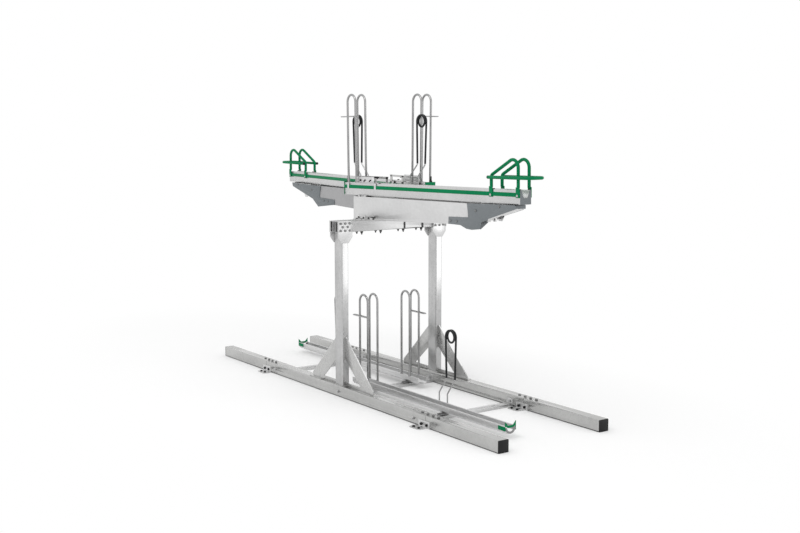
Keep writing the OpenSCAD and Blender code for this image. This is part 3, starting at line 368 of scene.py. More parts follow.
@dataclass(frozen=True)
class Coat:
    """Powder coat, paint or plastic."""

    name: str  # name of the finish
    dark: Colour  # darker tone of its colour
    light: Colour  # lighter tone of its colour
    roughness: float  # mean roughness
    peel: float = 420.0  # bumps of its orange peel per metre
    specular: float = 0.25  # level of its plain reflection
    smoother: float = 0.05  # how far the smoothest spots are below the mean roughness
    rougher: float = 0.08  # how far the roughest spots are above it

    def make(self) -> Material:
        """Builds the coat's shader.

        Returns:
            The new material.
        """
        low, high = self.roughness - self.smoother, self.roughness + self.rougher
        recipe = Recipe(self.name, 0.0, self.roughness)
        recipe.shader.inputs["Specular IOR Level"].default_value = self.specular
        cloud = recipe.use(cloud_group(), Strength=1.0)
        peel = recipe.use(peel_group(), Scale=self.peel)
        recipe.feed("Base Color", recipe.blend(cloud, opaque(self.dark), opaque(self.light)))
        recipe.feed("Roughness", recipe.ramp(cloud, low, high))
        recipe.bump(peel, depth=0.00025, strength=0.5)
        return recipe.material


EVEN = (60.0, 60.0, 60.0)
ALONG = (90.0, 3.0, 90.0)


class Finish(Enum):
    """The finishes of the rack."""

    RAIL = Zinc(
        "rail_zinc", (0.43, 0.43, 0.425), (0.55, 0.55, 0.54), 0.14, 0.24, (300.0, 6.0, 300.0),
        # foot paints a dark contact shade along the rails' lower edge
        foot=0.009, seam=1.067,
    )
    COLUMN = Zinc(
        "column_zinc", grey(0.40), grey(0.58), 0.14, 0.24, (60.0, 60.0, 1.5), streak=0.5
    )
    PLATE = Zinc(
        "plate_zinc", (0.43, 0.43, 0.425), (0.58, 0.58, 0.575), 0.18, 0.30, (40.0, 40.0, 40.0),
        grain=0.12,
    )
    CARRIER = Zinc("carrier_zinc", grey(0.59), grey(0.71), 0.28, 0.40, ALONG, grain=0.12)
    # painted shade: a darker copy of the carrier's zinc for the right carrier, standing for the
    # shadow the near tray casts on it
    DULL = Zinc(
        "dull_zinc", (0.34, 0.34, 0.345), (0.43, 0.43, 0.435), 0.28, 0.40, ALONG, grain=0.12
    )
    BEAM = Zinc("beam_zinc", grey(0.42), grey(0.54), 0.26, 0.38, (3.0, 90.0, 90.0), grain=0.12)
    TRAY = Zinc("tray_zinc", grey(0.52), grey(0.64), 0.20, 0.30, ALONG, grain=0.12)
    WIRE = Zinc("wire_zinc", grey(0.45), grey(0.56), 0.20, 0.32, EVEN, grain=0.08)
    TUBE = Zinc("tube_zinc", grey(0.33), grey(0.40), 0.17, 0.24, EVEN, grain=0.05)
    BOLT = Zinc("bolt_zinc", grey(0.18), grey(0.30), 0.24, 0.38, (90.0, 90.0, 90.0), 200.0)
    # painted shade: zinc fasteners made near black to stand for the shade they sit in under the
    # beams
    DARK_BOLT = Zinc(
        "dark_bolt_zinc", grey(0.05), grey(0.11), 0.28, 0.40, (90.0, 90.0, 90.0), 200.0
    )
    # painted highlight: near white zinc for the strips that stand for light caught on the braces'
    # edges
    CUT = Zinc("cut_edge_zinc", grey(0.86), grey(0.95), 0.20, 0.30, EVEN, grain=0.05)
    GROOVE = Zinc("lower_tray_zinc", grey(0.62), grey(0.74), 0.36, 0.46, ALONG, grain=0.08)
    # painted shade: the beam saddles' ribs are near black to stand for the shaded gaps where they
    # sit
    RIB = Zinc("shade_zinc", grey(0.05), grey(0.09), 0.35, 0.50, (120.0, 120.0, 120.0))
    NOSE = Coat("nose_grey", (0.155, 0.170, 0.180), (0.185, 0.200, 0.210), 0.46, 600.0)
    GREEN = Coat("green_coat", (0.0, 0.165, 0.060), (0.0, 0.200, 0.076), 0.38, specular=0.08)
    BLACK = Coat("black_plastic", (0.006, 0.006, 0.007), (0.011, 0.011, 0.012), 0.42, 900.0)
    SPRING = Coat("black_coat", (0.008, 0.009, 0.010), (0.016, 0.017, 0.018), 0.38, 700.0)
    IRON = Coat("black_oxide", (0.006, 0.006, 0.007), (0.014, 0.014, 0.014), 0.34, 700.0)


@cache
def material_of(finish: Finish) -> Material:
    """Gives the material of a finish, made the first time it is asked for."""
    return finish.value.make()


# Mesh helpers


def show(name: str, bm: BMesh, material: Material) -> Object:
    """Makes a finished bmesh an object of the scene, and frees it.

    Args:
        name: Name of the object.
        bm: Its mesh.
        material: Its material.

    Returns:
        The new object.
    """
    mesh = bpy.data.meshes.new(name)
    bm.to_mesh(mesh)
    bm.free()
    mesh.materials.append(material)
    made = bpy.data.objects.new(name, mesh)
    bpy.context.scene.collection.objects.link(made)
    return made


def place_piece(
    name: str, bm: BMesh, finish: Finish, body: str, smooth: float = PIECE_SMOOTH
) -> Object:
    """Turns a finished bmesh into a piece that rides on a body.

    Args:
        name: Name of the piece.
        bm: Its mesh in the frame's coordinates, which is freed.
        finish: Its finish.
        body: Body that it rides on.
        smooth: Angle in degrees past which an edge is sharp.

    Returns:
        The new object.
    """
    bmesh.ops.recalc_face_normals(bm, faces=bm.faces)
    piece = show(name, bm, material_of(finish))
    for polygon in piece.data.polygons:
        polygon.use_smooth = True
    piece.data.set_sharp_from_angle(angle=math.radians(smooth))
    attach(piece, body)
    LOG.info("%s: %d faces on %s", name, len(piece.data.polygons), body)
    return piece


def soften(bm: BMesh, edges: Iterable[BMEdge], width: float) -> None:
    """Bevels edges.

    Args:
        bm: Mesh that has the edges.
        edges: The edges.
        width: Width of the bevel in metres.
    """
    bmesh.ops.bevel(
        bm, geom=list(edges), offset=width, offset_type="OFFSET", affect="EDGES",
        segments=2, profile=0.5, material=-1, clamp_overlap=True,
    )


def sharp_edges(bm: BMesh, angle: float) -> list[BMEdge]:
    """Edges between two faces that meet at more than an angle in degrees."""
    inner = [edge for edge in bm.edges if len(edge.link_faces) == 2]
    return [edge for edge in inner if edge.calc_face_angle(0.0) > math.radians(angle)]


def refine_node(node: str, finish: Finish) -> None:
    """Replaces a node by a merged copy with softened edges.

    Args:
        node: Name of the node.
        finish: Its finish.
    """
    bm = bmesh.new()
    bm.from_mesh(frame["nodes"][node].data)
    bmesh.ops.remove_doubles(bm, verts=bm.verts, dist=MERGE)
    bmesh.ops.dissolve_limit(
        bm, angle_limit=math.radians(FLAT_ANGLE), use_dissolve_boundaries=False,
        verts=bm.verts, edges=bm.edges,
    )
    soften(bm, sharp_edges(bm, SHARP_ANGLE), NODE_EDGE / MM)
    body = frame["nodes"][node]["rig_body"]
    piece = place_piece(node + "_shell", bm, finish, body, SHELL_SMOOTH)
    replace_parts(piece, node)


def at(x: float, y: float, z: float) -> Vector:
    """A place given in millimetres, as the frame's drawings are."""
    return Vector((x, y, z)) / MM


def facing(place: Vector, way: Vector, axis: str = "Z", side: str = "X") -> Matrix:
    """Matrix that puts the origin at a place and points an axis in a direction."""
    return Matrix.Translation(place) @ way.to_track_quat(axis, side).to_matrix().to_4x4()


def sideways(side: int) -> Vector:
    """Direction across the rack: -1 for the left and 1 for the right."""
    return Vector((side, 0.0, 0.0))


def grown_verts(grown: dict[str, list]) -> list[BMVert]:
    """The vertices that an extrusion has made."""
    return [item for item in grown["geom"] if isinstance(item, BMVert)]


def bent_route(corners: Sequence[Vector], bends: Sequence[float], step: float) -> list[Vector]:
    """Rounds the inner corners of a row of points.

    Args:
        corners: Ends and corners of the route.
        bends: Bend radius of each inner corner in millimetres.
        step: Angle between two points of a bend in degrees.

    Returns:
        The points of the route, bends included.
    """
    route = [corners[0].copy()]
    for before, corner, after, bend in zip(corners, corners[1:], corners[2:], bends):
        radius = bend / MM
        first = (corner - before).normalized()
        second = (after - corner).normalized()
        angle = first.angle(second)
        start = corner - first * radius * math.tan(angle / 2)
        centre = start + (second - first * first.dot(second)).normalized() * radius
        axis = first.cross(second).normalized()
        steps = max(2, math.ceil(math.degrees(angle) / step))
        for i in range(steps + 1):
            turn = Matrix.Rotation(angle * i / steps, 3, axis)
            route.append(centre + turn @ (start - centre))
    route.append(corners[-1].copy())
    return route


def tube(route: Sequence[Vector], radius: float, sides: int) -> BMesh:
    """Extrudes a ring along a route and closes both ends with a soft edge.

    Args:
        route: Points of the tube's centre line.
        radius: Outer radius in millimetres.
        sides: Corners of the ring.

    Returns:
        The tube's mesh.
    """
    soft_share = 0.2
    bm = bmesh.new()
    way = (route[1] - route[0]).normalized()
    made = bmesh.ops.create_circle(
        bm, cap_ends=True, segments=sides, radius=radius / MM, matrix=facing(route[0], way)
    )
    ring = list(dict.fromkeys(edge for vert in made["verts"] for edge in vert.link_edges))
    first = list(ring)
    for i in range(1, len(route)):
        ahead = (route[min(i + 1, len(route) - 1)] - route[i - 1]).normalized()
        grown = bmesh.ops.extrude_edge_only(bm, edges=ring)
        ring = [item for item in grown["geom"] if isinstance(item, BMEdge)]
        corners = grown_verts(grown)
        bmesh.ops.translate(bm, verts=corners, vec=route[i] - route[i - 1])
        swing = way.rotation_difference(ahead).to_matrix()
        bmesh.ops.rotate(bm, verts=corners, cent=route[i], matrix=swing)
        way = ahead
    bmesh.ops.edgeloop_fill(bm, edges=ring)
    soften(bm, first + ring, radius / MM * soft_share)
    return bm


def slab(low: Vector, high: Vector, soft: float = PLATE_EDGE) -> BMesh:
    """Makes a plate or block between two corners, its edges softened.

    Args:
        low: Lowest corner.
        high: Highest corner.
        soft: Width of the softened edges in millimetres.

    Returns:
        The block's mesh.
    """
    bm = bmesh.new()
    size = high - low
    place = Matrix.Translation((low + high) / 2) @ Matrix.Diagonal((*size, 1.0))
    bmesh.ops.create_cube(bm, size=1.0, matrix=place)
    soften(bm, bm.edges, min(soft / MM, min(size) / 3))
    return bm


def stud(
    foot: Vector, way: Vector, radius: float, height: float, sides: int = TUBE_SIDES
) -> BMesh:
    """Makes a bolt head, nut, knob or washer that stands on a point.

    Args:
        foot: Centre of its foot.
        way: Direction in which it stands.
        radius: Its radius in millimetres.
        height: Its height in millimetres.
        sides: 6 for a nut, more for a round head.

    Returns:
        The stud's mesh.
    """
    soft_share = 0.2
    bm = bmesh.new()
    bmesh.ops.create_cone(
        bm, cap_ends=True, segments=sides, radius1=radius / MM, radius2=radius / MM,
        depth=height / MM, matrix=facing(foot, way) @ Matrix.Translation(at(0, 0, height / 2)),
    )
    soften(bm, sharp_edges(bm, RIM_ANGLE), height / MM * soft_share)
    return bm


def joined(parts: Iterable[BMesh]) -> BMesh:
    """Joins meshes in the same coordinates into one.

    Args:
        parts: The meshes, which are freed.

    Returns:
        One mesh with all of them.
    """
    whole = bmesh.new()
    for part in parts:
        holder = bpy.data.meshes.new("holder")
        part.to_mesh(holder)
        part.free()
        whole.from_mesh(holder)
        bpy.data.meshes.remove(holder)
    return whole


def moved(bm: BMesh, matrix: Matrix) -> BMesh:
    """Moves a mesh by a matrix and gives it back."""
    bmesh.ops.transform(bm, matrix=matrix, verts=bm.verts)
    return bm


# Sub-assemblies, in millimetres in the frame of the left side


@dataclass(frozen=True)
class TrayFrame:
    """Place of the left upper tray: Y runs along it and Z stands square to it."""

    offset: float = 181.0  # distance of its centre line from the middle of the rack
    height: float = 1437.0  # height of its underside at the middle of the rack
    length: float = 1949.0  # its length
    rise: float = 28.0  # how much higher its outer end is than its inner one

    @property
    def upper(self) -> Matrix:
        """Matrix from the upper tray's own coordinates to the frame's."""
        tilt = Matrix.Rotation(-math.asin(self.rise / self.length), 4, "X")
        return Matrix.Translation(at(-self.offset, 0, self.height)) @ tilt

    @property
    def lower(self) -> Matrix:
        """Matrix from the lower tray's own coordinates to the frame's."""
        return Matrix.Translation(at(-self.offset, 0, 0))


@dataclass(frozen=True)
class Hoops:
    """The two wheel hoops of a tray with their level hairpin."""

    near: float  # inner leg along Y
    far: float  # outer leg along Y
    low: float  # foot of the legs
    high: float  # crown of the hoops
    lock: float  # height of the hairpin
    half: float = 42.0  # distance of each hoop from the centre line
    radius: float = 8.0  # radius of the tube
    lock_radius: float = 4.0  # radius of the hairpin's wire
    lock_start: float = 8.0  # how far the hairpin starts before the inner leg
    lock_reach: float = 80.0  # how far it reaches past the outer leg
    weld: float = 0.8  # depth by which the hairpin is sunk into the tube
    drop: float = 2.6  # radius of a drop of the weld beads
    drop_out: float = 0.6  # how far a drop's centre is outside the tube
    drop_up: float = 1.0  # how far it is above the foot
    drops: int = 12  # drops round a leg

    def hoop(self, x: float) -> BMesh:
        """One upright hoop.

        Args:
            x: Its distance from the centre line.

        Returns:
            The hoop's mesh.
        """
        top = self.high - self.radius
        legs = ((self.near, self.low), (self.near, top), (self.far, top), (self.far, self.low))
        bend = (self.far - self.near) / 2 - BEND_SLACK
        route = bent_route([at(x, y, z) for y, z in legs], (bend, bend), BEND_STEP)
        return tube(route, self.radius, TUBE_SIDES)

    def hairpin(self) -> BMesh:
        """The level hairpin round the legs of the outer hoop.

        Returns:
            The hairpin's mesh.
        """
        side = self.radius + self.lock_radius - self.weld
        start, tip = self.near - self.lock_start, self.far + self.lock_reach
        legs = ((-side, start), (-side, tip), (side, tip), (side, start))
        corners = [at(x - self.half, y, self.lock) for x, y in legs]
        bend = side - BEND_SLACK
        return tube(bent_route(corners, (bend, bend), WIRE_STEP), self.lock_radius, ROD_SIDES)

    def bead(self, x: float, y: float) -> BMesh:
        """Weld bead round the foot of a leg.

        Args:
            x: Place of the leg across the tray.
            y: Its place along the tray.

        Returns:
            The bead's mesh.
        """
        bm = bmesh.new()
        arm = at(self.radius + self.drop_out, 0, self.drop_up)
        for i in range(self.drops):
            turn = Matrix.Rotation(math.radians(360.0 / self.drops * i), 3, "Z")
            spot = Matrix.Translation(at(x, y, self.low) + turn @ arm)
            bmesh.ops.create_icosphere(bm, subdivisions=1, radius=self.drop / MM, matrix=spot)
        return bm

    def build(self) -> BMesh:
        """Both hoops, their beads and the hairpin.

        Returns:
            One mesh with all of them.
        """
        parts = [self.hoop(-self.half), self.hoop(self.half), self.hairpin()]
        parts += [self.bead(x, y) for x in (-self.half, self.half) for y in (self.near, self.far)]
        return joined(parts)


@dataclass(frozen=True)
class Clamp:
    """A spring clamp bent from one wire, coated in black from the shins up."""

    feet: Span  # places of its feet along Y
    foot_z: float  # height of the feet
    knee_h: float  # height of the knees above the feet
    shift: float  # shift of the coil along Y from the middle of the feet
    shin_h: float  # height of the shins above the feet
    coil_h: float  # height of the coil above the feet
    mid_x: float  # place of the coil across the tray
    stance: float = 4.0  # half distance across between the two legs
    coil: float = 82.0  # mean diameter of the coil
    turns: float = 1.5  # turns of the coil
    facets: int = 24  # steps of a turn
    pitch: float = 15.0  # step of the coil for each turn
    wire: float = 10.0  # diameter of the bare wire
    coat: float = 14.0  # diameter over the coat
    bend: float = 20.0  # bend radius of knees and shins
    lift: float = 6.0  # height above the shins at which the coat starts
    sunk: float = 24.0  # height above the shins at which the bare wire ends inside the coat
    sides: int = 14  # facets round the wire

    @property
    def middle(self) -> float:
        """Place of the coil's centre along Y."""
        return sum(self.feet) / 2 + self.shift

    def leg(self, side: int) -> list[Vector]:
        """Corners of a leg from its foot to the shin.

        Args:
            side: -1 for the first leg and 1 for the second.

        Returns:
            The corners.
        """
        foot = self.feet[0] if side < 0 else self.feet[1]
        shin = self.middle + side * self.coil / 2
        spots = ((foot, 0.0), (foot, self.knee_h), (shin, self.shin_h))
        return [at(self.mid_x - side * self.stance, y, self.foot_z + z) for y, z in spots]

    def coil_points(self) -> list[Vector]:
        """Middle line of the coil.

        Returns:
            Its points from the first side over the top to the last.
        """
        steps = int(self.turns * self.facets)
        wide = self.turns * self.pitch
        points = []
        for i in range(steps + 1):
            angle = math.radians(180.0 - 360.0 / self.facets * i)
            points.append(at(
                self.mid_x + wide / 2 - wide * i / steps,
                self.middle + self.coil / 2 * math.cos(angle),
                self.foot_z + self.coil_h + self.coil / 2 * math.sin(angle),
            ))
        return points

    def bare(self) -> BMesh:
        """Bare wire of both legs, from the feet into the coat.

        Returns:
            The wire's mesh.
        """
        legs = [[*corners, corners[-1] + at(0, 0, self.sunk)] for corners in map(self.leg, (-1, 1))]
        routes = [bent_route(leg, (self.bend, self.bend), LEG_STEP) for leg in legs]
        return joined(tube(route, self.wire / 2, self.sides) for route in routes)

    def coated(self) -> BMesh:
        """Black coat over both shins and the coil."""
        first, last = (self.leg(side)[-1] + at(0, 0, self.lift) for side in (-1, 1))
        return tube([first, *self.coil_points(), last], self.coat / 2, self.sides)


@dataclass(frozen=True)
class WheelBase:
    """The plates, the open frame and the fittings at the wheel slot of an upper tray."""

    slot: float = 31.5  # inner edge of the rim plates
    edge: float = 48.5  # outer edge of the rim plates
    thick: float = 3.0  # thickness of the plates
    top: float = 87.0  # height of the tray
    near: float = -165.0  # outer end of the plates along Y
    far: float = 206.0  # inner end of the plates along Y
    tab: float = 22.0  # width of the tabs at both ends
    tab_low: float = 45.0  # foot of the tabs
    wall: Span = (-115.0, 82.0)  # both ends of the wall along Y
    high: float = 132.0  # top of the wall and of the open frame
    frame_x: float = 56.5  # face of the open frame that looks to the slot
    frame_t: float = 4.0  # thickness of the frame
    frame_low: float = 71.0  # foot of the frame
    frame_far: float = 200.0  # inner end of the frame along Y
    bar: float = 14.0  # height of the frame's bars
    # both ends of each upright between the bars along Y
    posts: tuple[Span, ...] = (
        (-165.0, -139.0), (-20.0, 8.0), (88.0, 98.0), (186.0, 200.0)
    )
    ledge: Place = (10.0, 80.0, 3.0)  # width, inner end and thickness of the ledge on the frame
    shelf: float = 74.0  # height of the clamp's shelf
    shelf_out: float = 79.0  # outer edge of the shelf
    seats: Span = (110.0, 198.0)  # places of the clamp's feet along Y
    seat_half: float = 9.0  # half the width of a seat
    knobs: Span = (-37.0, -158.0)  # places of the knobs on the frame along Y
    knob_z: float = 123.0  # height of the knobs
    pin: Span = (-105.0, 79.0)  # place of the pin outside the frame along Y and its height
    # place along Y, height and radius of each bolt in the wall
    bolts: tuple[Place, ...] = (
        (50.0, 107.0, 8.0), (-10.0, 107.0, 6.5), (2.0, 101.0, 5.5), (-80.0, 107.0, 6.5),
        (-68.0, 101.0, 5.5),
    )
    # places of the dark pads on the rim along Y
    pads: tuple[float, ...] = (-199.0, -1446.0, -1690.0)
    pad_x: Span = (-44.0, -33.0)  # both sides of the pads across
    pad_half: float = 7.0  # half the length of a pad
    pad_z: Span = (-0.2, 6.0)  # foot and top of the pads above the tray
    clip_spot: Span = (-42.0, 207.0)  # foot of the clip across and along
    # two corners of the clip's blade from its foot
    clip_box: tuple[Place, Place] = ((-4.0, -5.0, 8.0), (4.0, 3.0, 44.0))

    @staticmethod
    def block(side: int, across: Span, along: Span, up: Span) -> BMesh:
        """A plate on one side of the tray, between two distances, two ends and two heights."""
        low, high = zip(sorted(side * x for x in across), along, up)
        return slab(at(*low), at(*high))

    def plates(self) -> BMesh:
        """Rim plates with their tabs, the wall and the clamp's shelf.

        Returns:
            One mesh with all of them.
        """
        rim, face, half = self.top + self.thick, self.edge - self.thick, self.thick / 2
        floor = (self.shelf - self.thick, self.shelf)
        ends, up = (self.near, self.far), (self.top, self.high)
        rows = []
        for side in (-1, 1):
            rows.append((side, (self.slot, self.edge), ends, (self.top, rim)))
            for start in (self.near, self.far - self.tab):
                along = (start, start + self.tab)
                rows.append((side, (face, self.edge), along, (self.tab_low, rim)))
        rows.append((-1, (self.slot, self.slot + self.thick), self.wall, up))
        rows += [(-1, (self.slot, face), (end - half, end + half), up) for end in self.wall]
        rows.append((1, (face, self.frame_x + self.frame_t), ends, floor))
        for seat in self.seats:
            along = (seat - self.seat_half, seat + self.seat_half)
            rows.append((1, (face, self.shelf_out), along, floor))
            rows.append((1, (face, self.edge), along, (floor[0], rim)))
        return joined(self.block(*row) for row in rows)

    def frame(self) -> BMesh:
        """The open frame beside the wheel slot.

        Returns:
            The frame's mesh.
        """
        across = (self.frame_x, self.frame_x + self.frame_t)
        ends, low, high = (self.near, self.frame_far), self.frame_low, self.high
        wide, stop, thick = self.ledge
        rows = [
            (across, ends, (high - self.bar, high)),
            (across, ends, (low, low + self.bar)),
            ((self.frame_x, self.frame_x + wide), (self.near, stop), (high - thick, high)),
            *((across, post, (low, high)) for post in self.posts),
        ]
        return joined(self.block(1, *row) for row in rows)

    def screws(self) -> BMesh:
        """Knobs on the frame, bolts in the wall and the small dark pads.

        Returns:
            One mesh with all of them.
        """
        outer = self.frame_x + self.frame_t
        wall = -self.slot - self.thick
        spots = [at(self.frame_x, y, self.knob_z) for y in self.knobs]
        parts = [stud(spot, sideways(-1), radius=9.5, height=7.0) for spot in spots]
        parts.append(stud(at(outer, *self.pin), sideways(1), radius=7.5, height=6.0))
        for y, z, radius in self.bolts:
            parts.append(stud(at(wall, y, z), sideways(-1), radius, height=5.0, sides=NUT_SIDES))
        (west, east), (foot, head) = self.pad_x, self.pad_z
        for y in self.pads:
            low = at(west, y - self.pad_half, self.top + foot)
            parts.append(slab(low, at(east, y + self.pad_half, self.top + head), soft=1.0))
        return joined(parts)

    def clip(self) -> BMesh:
        """Dark clip at the foot of the outer leg of the outer hoop.

        Returns:
            The clip's mesh.
        """
        foot = at(*self.clip_spot, self.top + self.thick)
        low, high = (foot + at(*corner) for corner in self.clip_box)
        stem = stud(foot, Vector((0, 0, 1)), radius=8.5, height=13.0)
        return joined([stem, slab(low, high, soft=2.0)])


@dataclass(frozen=True)
class Handle:
    """The green handle at the outer end of an upper tray."""

    inner: float = 1430.0  # inner legs along Y
    outer: float = 1680.0  # outer legs along Y
    foot: float = 98.0  # height of the feet of the legs
    knee: float = 172.0  # height of the knee
    crown: float = 299.0  # height of the crown
    knee_bend: float = 24.0  # bend radius of the knee
    crown_bend: float = 50.0  # bend radius of the crown
    half: float = 43.0  # distance of each hoop from the centre line
    radius: float = 10.25  # radius of the tube
    loop_half: float = 64.0  # half width of the level loop
    loop_in: float = 1425.0  # inner end of the loop
    loop_out: float = 1801.0  # outer end of the loop
    loop_z: float = 160.0  # height of the loop
    loop_bend: float = 46.0  # bend radius of the loop
    weld_z: float = 154.0  # height of the short rods between hoops and loop
    weld_radius: float = 4.5  # radius of those rods
    lug_x: float = 45.5  # inner face of the lugs
    lug_t: float = 4.0  # thickness of a lug
    lug_w: float = 34.0  # width of a lug
    lug_drop: float = 58.0  # how far a lug hangs below the foot of its leg
    lug_lap: float = 6.0  # how far a lug laps over the leg
    bolt_z: float = 52.5  # height of the lugs' bolts

    def hoop(self, x: float) -> BMesh:
        """One slanting hoop.

        Args:
            x: Its distance from the centre line.

        Returns:
            The hoop's mesh.
        """
        inner, outer = -self.inner, -self.outer
        legs = ((inner, self.foot), (inner, self.knee), (outer, self.crown), (outer, self.foot))
        corners = [at(x, y, z) for y, z in legs]
        route = bent_route(corners, (self.knee_bend, self.crown_bend), BEND_STEP)
        return tube(route, self.radius, TUBE_SIDES)

    def loop(self) -> BMesh:
        """The level loop that the rider pulls.

        Returns:
            The loop's mesh.
        """
        half, start, tip = self.loop_half, -self.loop_in, -self.loop_out
        legs = ((-half, start), (-half, tip), (half, tip), (half, start))
        corners = [at(x, y, self.loop_z) for x, y in legs]
        route = bent_route(corners, (self.loop_bend, self.loop_bend), BEND_STEP)
        return tube(route, self.radius, TUBE_SIDES)

    def lug(self, side: int, y: float) -> BMesh:
        """A flat lug under a leg, its edges softened.

        Args:
            side: -1 or 1 for the side of the tray.
            y: Place along the tray, outwards.

        Returns:
            The lug's mesh.
        """
        near, far = sorted(side * x for x in (self.lug_x, self.lug_x + self.lug_t))
        low = at(near, -y - self.lug_w / 2, self.foot - self.lug_drop)
        return slab(low, at(far, -y + self.lug_w / 2, self.foot + self.lug_lap), soft=1.5)

    def bridge(self, side: int, y: float) -> BMesh:
        """Short welded rod between a hoop and the loop."""
        ends = [at(side * x, -y, self.weld_z) for x in (self.half, self.loop_half)]
        return tube(ends, self.weld_radius, ROD_SIDES)

    def bolts(self) -> BMesh:
        """The bolts of all four lugs.

        Returns:
            One mesh with all of them.
        """
        face = self.lug_x + self.lug_t
        return joined(
            stud(at(side * face, -y, self.bolt_z), sideways(side), radius=7.8, height=4.5)
            for side in (-1, 1) for y in (self.inner, self.outer)
        )

    def build(self) -> BMesh:
        """The whole handle.

        Returns:
            One mesh with all its tubes, lugs and rods.
        """
        parts = [self.loop()]
        for side in (-1, 1):
            parts.append(self.hoop(side * self.half))
            for y in (self.inner, self.outer):
                parts += [self.lug(side, y), self.bridge(side, y)]
        return joined(parts)


@dataclass(frozen=True)
class EndPlate:
    """Grey plate on the outer end of an upper tray, with the notch of its groove left open."""

    place: float = 1697.0  # distance of its inner face from the middle along Y
    thick: float = 1.2  # its thickness
    # its corners, across and up
    outline: tuple[Span, ...] = (
        (-43.0, 0.0), (43.0, 0.0), (43.0, 87.0), (31.5, 87.0),
        (15.5, 39.0), (-15.5, 39.0), (-31.5, 87.0), (-43.0, 87.0),
    )

    def build(self) -> BMesh:
        """Extrudes the plate from its outline.

        Returns:
            The plate's mesh.
        """
        bm = bmesh.new()
        face = bm.faces.new([bm.verts.new(at(x, -self.place, z)) for x, z in self.outline])
        grown = bmesh.ops.extrude_face_region(bm, geom=[face])
        bmesh.ops.translate(bm, verts=grown_verts(grown), vec=at(0, -self.thick, 0))
        return bm


@dataclass(frozen=True)
class EdgeStrip:
    """A light strip along an edge: a real folded rim, or a painted highlight along a cut edge."""

    start: Place  # one end of its middle line
    stop: Place  # the other end
    wide: float  # its width along X
    thick: float  # its thickness

    def build(self) -> BMesh:
        """Lays the strip from its start to its stop.

        Returns:
            The strip's mesh.
        """
        start = at(*self.start)
        span = at(*self.stop) - start
        half = at(self.wide / 2, 0, self.thick / 2)
        bm = slab(-half, half + Vector((0.0, span.length, 0.0)), soft=0.4)
        return moved(bm, facing(start, span, "Y", "Z"))


@dataclass(frozen=True)
class FootWeld:
    """Weld bead round the foot of a column."""

    middle: float = -415.0  # place of the column's middle along X
    wide: float = 56.0  # width of the column along X
    deep: float = 100.0  # depth of the column along Y
    height: float = 81.0  # height of the bead's centre
    radius: float = 3.0  # radius of the bead

    def build(self) -> BMesh:
        """Four straight beads along the foot of the column.

        Returns:
            One mesh with all of them.
        """
        east, west = self.middle + self.wide / 2, self.middle - self.wide / 2
        half = self.deep / 2
        corners = [(west, -half), (east, -half), (east, half), (west, half)]
        places = [at(x, y, self.height) for x, y in corners]
        pairs = zip(places, places[1:] + places[:1])
        return joined(tube(pair, self.radius, BEAD_SIDES) for pair in pairs)


@dataclass(frozen=True)
class BeamNuts:
    """Nuts and washers on the tails of the carriers' bolts under the beams."""

    across: tuple[float, ...] = (-262.5, -99.5)  # places of the tails along X
    along: tuple[float, ...] = (-32.5, 32.5)  # places of the tails along Y
    under: float = 1184.0  # underside of the beams
    washer: float = 3.0  # thickness of a washer

    def build(self) -> BMesh:
        """All nuts and washers of one side.

        Returns:
            One mesh with all of them.
        """
        down = Vector((0, 0, -1))
        parts = []
        for x, y in ((x, y) for x in self.across for y in self.along):
            parts.append(stud(at(x, y, self.under), down, radius=12.5, height=self.washer))
            spot = at(x, y, self.under - self.washer)
            parts.append(stud(spot, down, radius=10.5, height=11.0, sides=NUT_SIDES))
        return joined(parts)


@dataclass(frozen=True)
class TrayCup:
    """The half round end under the green guide of a lower tray."""

    radius: float = 40.0  # outer radius
    inner: float = 27.0  # inner radius
    height: float = 74.0  # height of its centre
    place: float = 1581.6  # distance of its outer face from the middle along Y
    thick: float = 3.4  # thickness of the plate
    steps: int = 20  # facets of the half circle

    def build(self) -> BMesh:
        """Spins the cup from one edge and thickens it.

        Returns:
            The cup's mesh.
        """
        bm = bmesh.new()
        centre = at(0, -self.place, self.height)
        ends = [bm.verts.new(centre - at(reach, 0, 0)) for reach in (self.inner, self.radius)]
        edge = bm.edges.new(ends)
        bmesh.ops.spin(
            bm, geom=[*ends, edge], cent=centre, axis=(0.0, 1.0, 0.0),
            angle=-math.pi, steps=self.steps, use_duplicate=False,
        )
        grown = bmesh.ops.extrude_face_region(bm, geom=bm.faces[:])
        bmesh.ops.translate(bm, verts=grown_verts(grown), vec=at(0, self.thick, 0))
        return bm


CHEEK_EDGE = EdgeStrip((-242.6, -1424.0, 1355.5), (-242.6, -1698.0, 1435.5), 4.3, 8.5)
# Painted highlights: light strips along the braces' slanted cut edges, where light catches them.
BRACE_HIGHLIGHTS = [
    EdgeStrip((-415.0, way * 51.0, 440.0), (-415.0, way * 404.0, 105.0), 8.0, 0.8)
    for way in (-1, 1)
]


